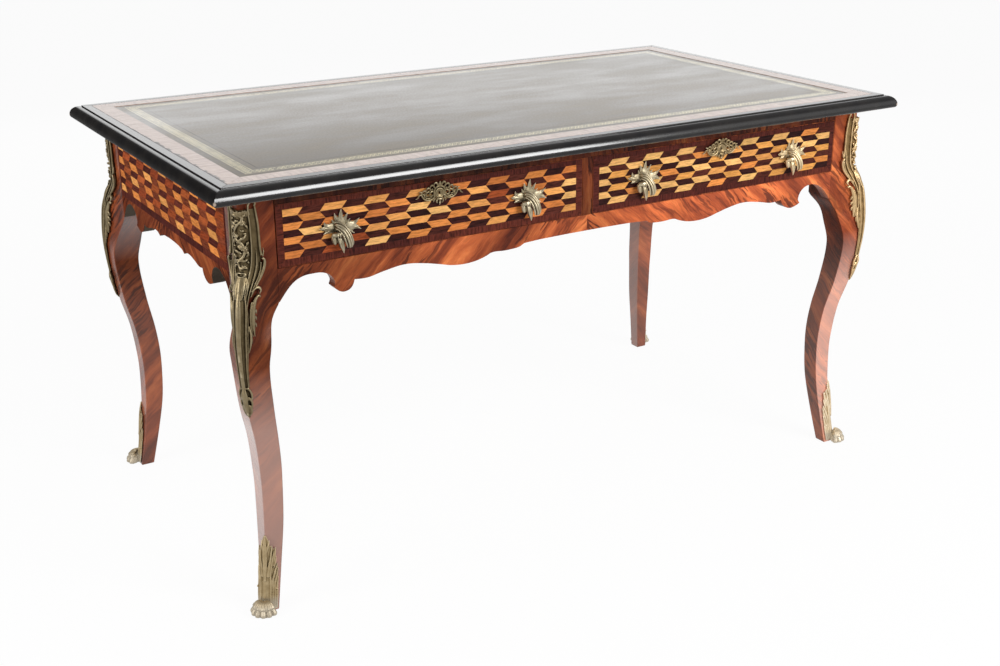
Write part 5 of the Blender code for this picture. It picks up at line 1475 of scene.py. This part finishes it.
bpy.ops.object.select_all(action="DESELECT")
bpy.ops.mesh.primitive_plane_add(size=FLOOR_SIZE)
floor = bpy.context.object
floor.name = "studio_floor"
floor_paint = bpy.data.materials.new("pale_floor")
floor_paint.use_nodes = True
floor_paint.node_tree.nodes.remove(floor_paint.node_tree.nodes["Principled BSDF"])
ray = wire(floor_paint.node_tree, "LightPath").outputs
seen = reckon("MAXIMUM", ray["Is Camera Ray"], ray["Is Glossy Ray"])
seen = reckon("MAXIMUM", seen, ray["Is Transmission Ray"])
matt = wire(floor_paint.node_tree, "BsdfDiffuse", FLOOR_GREY)
bright = wire(floor_paint.node_tree, "Emission", WHITE, 1.0)
floor_face = wire(floor_paint.node_tree, "MixShader", times(seen, FLOOR_WHITE), matt, bright)
outlet = floor_paint.node_tree.nodes["Material Output"].inputs["Surface"]
floor_paint.node_tree.links.new(floor_face.outputs[0], outlet)
floor.data.materials.append(floor_paint)

world = bpy.context.scene.world or bpy.data.worlds.new("studio")
bpy.context.scene.world = world
world.use_nodes = True
surround = world.node_tree.nodes["Background"]
surround.inputs["Color"].default_value = WHITE
ray = wire(world.node_tree, "LightPath").outputs
unseen = graded(ray["Is Glossy Ray"], 0.0, 1.0, SURROUND_FILL, SURROUND_MIRRORED)
strength = graded(ray["Is Camera Ray"], 0.0, 1.0, unseen, SURROUND_SEEN)
world.node_tree.links.new(strength.outputs[0], surround.inputs["Strength"])


def soft_lamp(name, place, aim, width, height, watts):
    """A rectangular studio lamp, turned to its aim and out of the camera's sight."""
    lamp = bpy.data.lights.new(name, "AREA")
    lamp.shape = "RECTANGLE"
    lamp.size, lamp.size_y, lamp.energy = width, height, watts
    holder = linked(name, lamp)
    holder.location = place
    holder.rotation_euler = (Vector(aim) - Vector(place)).to_track_quat("-Z", "Y").to_euler()
    holder.visible_camera = False


soft_lamp("front_lamp", (1.0, -2.85, 2.05), (0.0, 0.0, 0.6), 1.6, 1.9, 94.0)
soft_lamp("side_lamp", (-3.2, -0.5, 1.7), (0.0, 0.0, 0.6), 1.6, 1.6, 58.0)
soft_lamp("rear_lamp", (1.6, 3.1, 1.8), (0.0, 0.0, 0.7), 5.0, 2.2, 40.0)

CAMERA_PLACE = Vector((-1.39075, -2.32731, 1.29071))
CAMERA_AZIMUTH, CAMERA_DIP, CAMERA_ROLL = radians(58.674), radians(20.564), radians(-0.264)
reach = cos(CAMERA_DIP)
ahead = Vector((reach * cos(CAMERA_AZIMUTH), reach * sin(CAMERA_AZIMUTH), -sin(CAMERA_DIP)))
level_right = ahead.cross(Vector((0.0, 0.0, 1.0))).normalized()
level_up = level_right.cross(ahead)
right = cos(CAMERA_ROLL) * level_right + sin(CAMERA_ROLL) * level_up
up = cos(CAMERA_ROLL) * level_up - sin(CAMERA_ROLL) * level_right
lens = bpy.data.cameras.new("photograph_view")
lens.lens = 49.217
lens.sensor_width = 36.0
camera = linked("photograph_view", lens)
camera.matrix_world = Matrix.Translation(CAMERA_PLACE) @ Matrix((right, up, -ahead)).transposed().to_4x4()
bpy.context.scene.camera = camera
bpy.context.scene.view_settings.view_transform = "Standard"
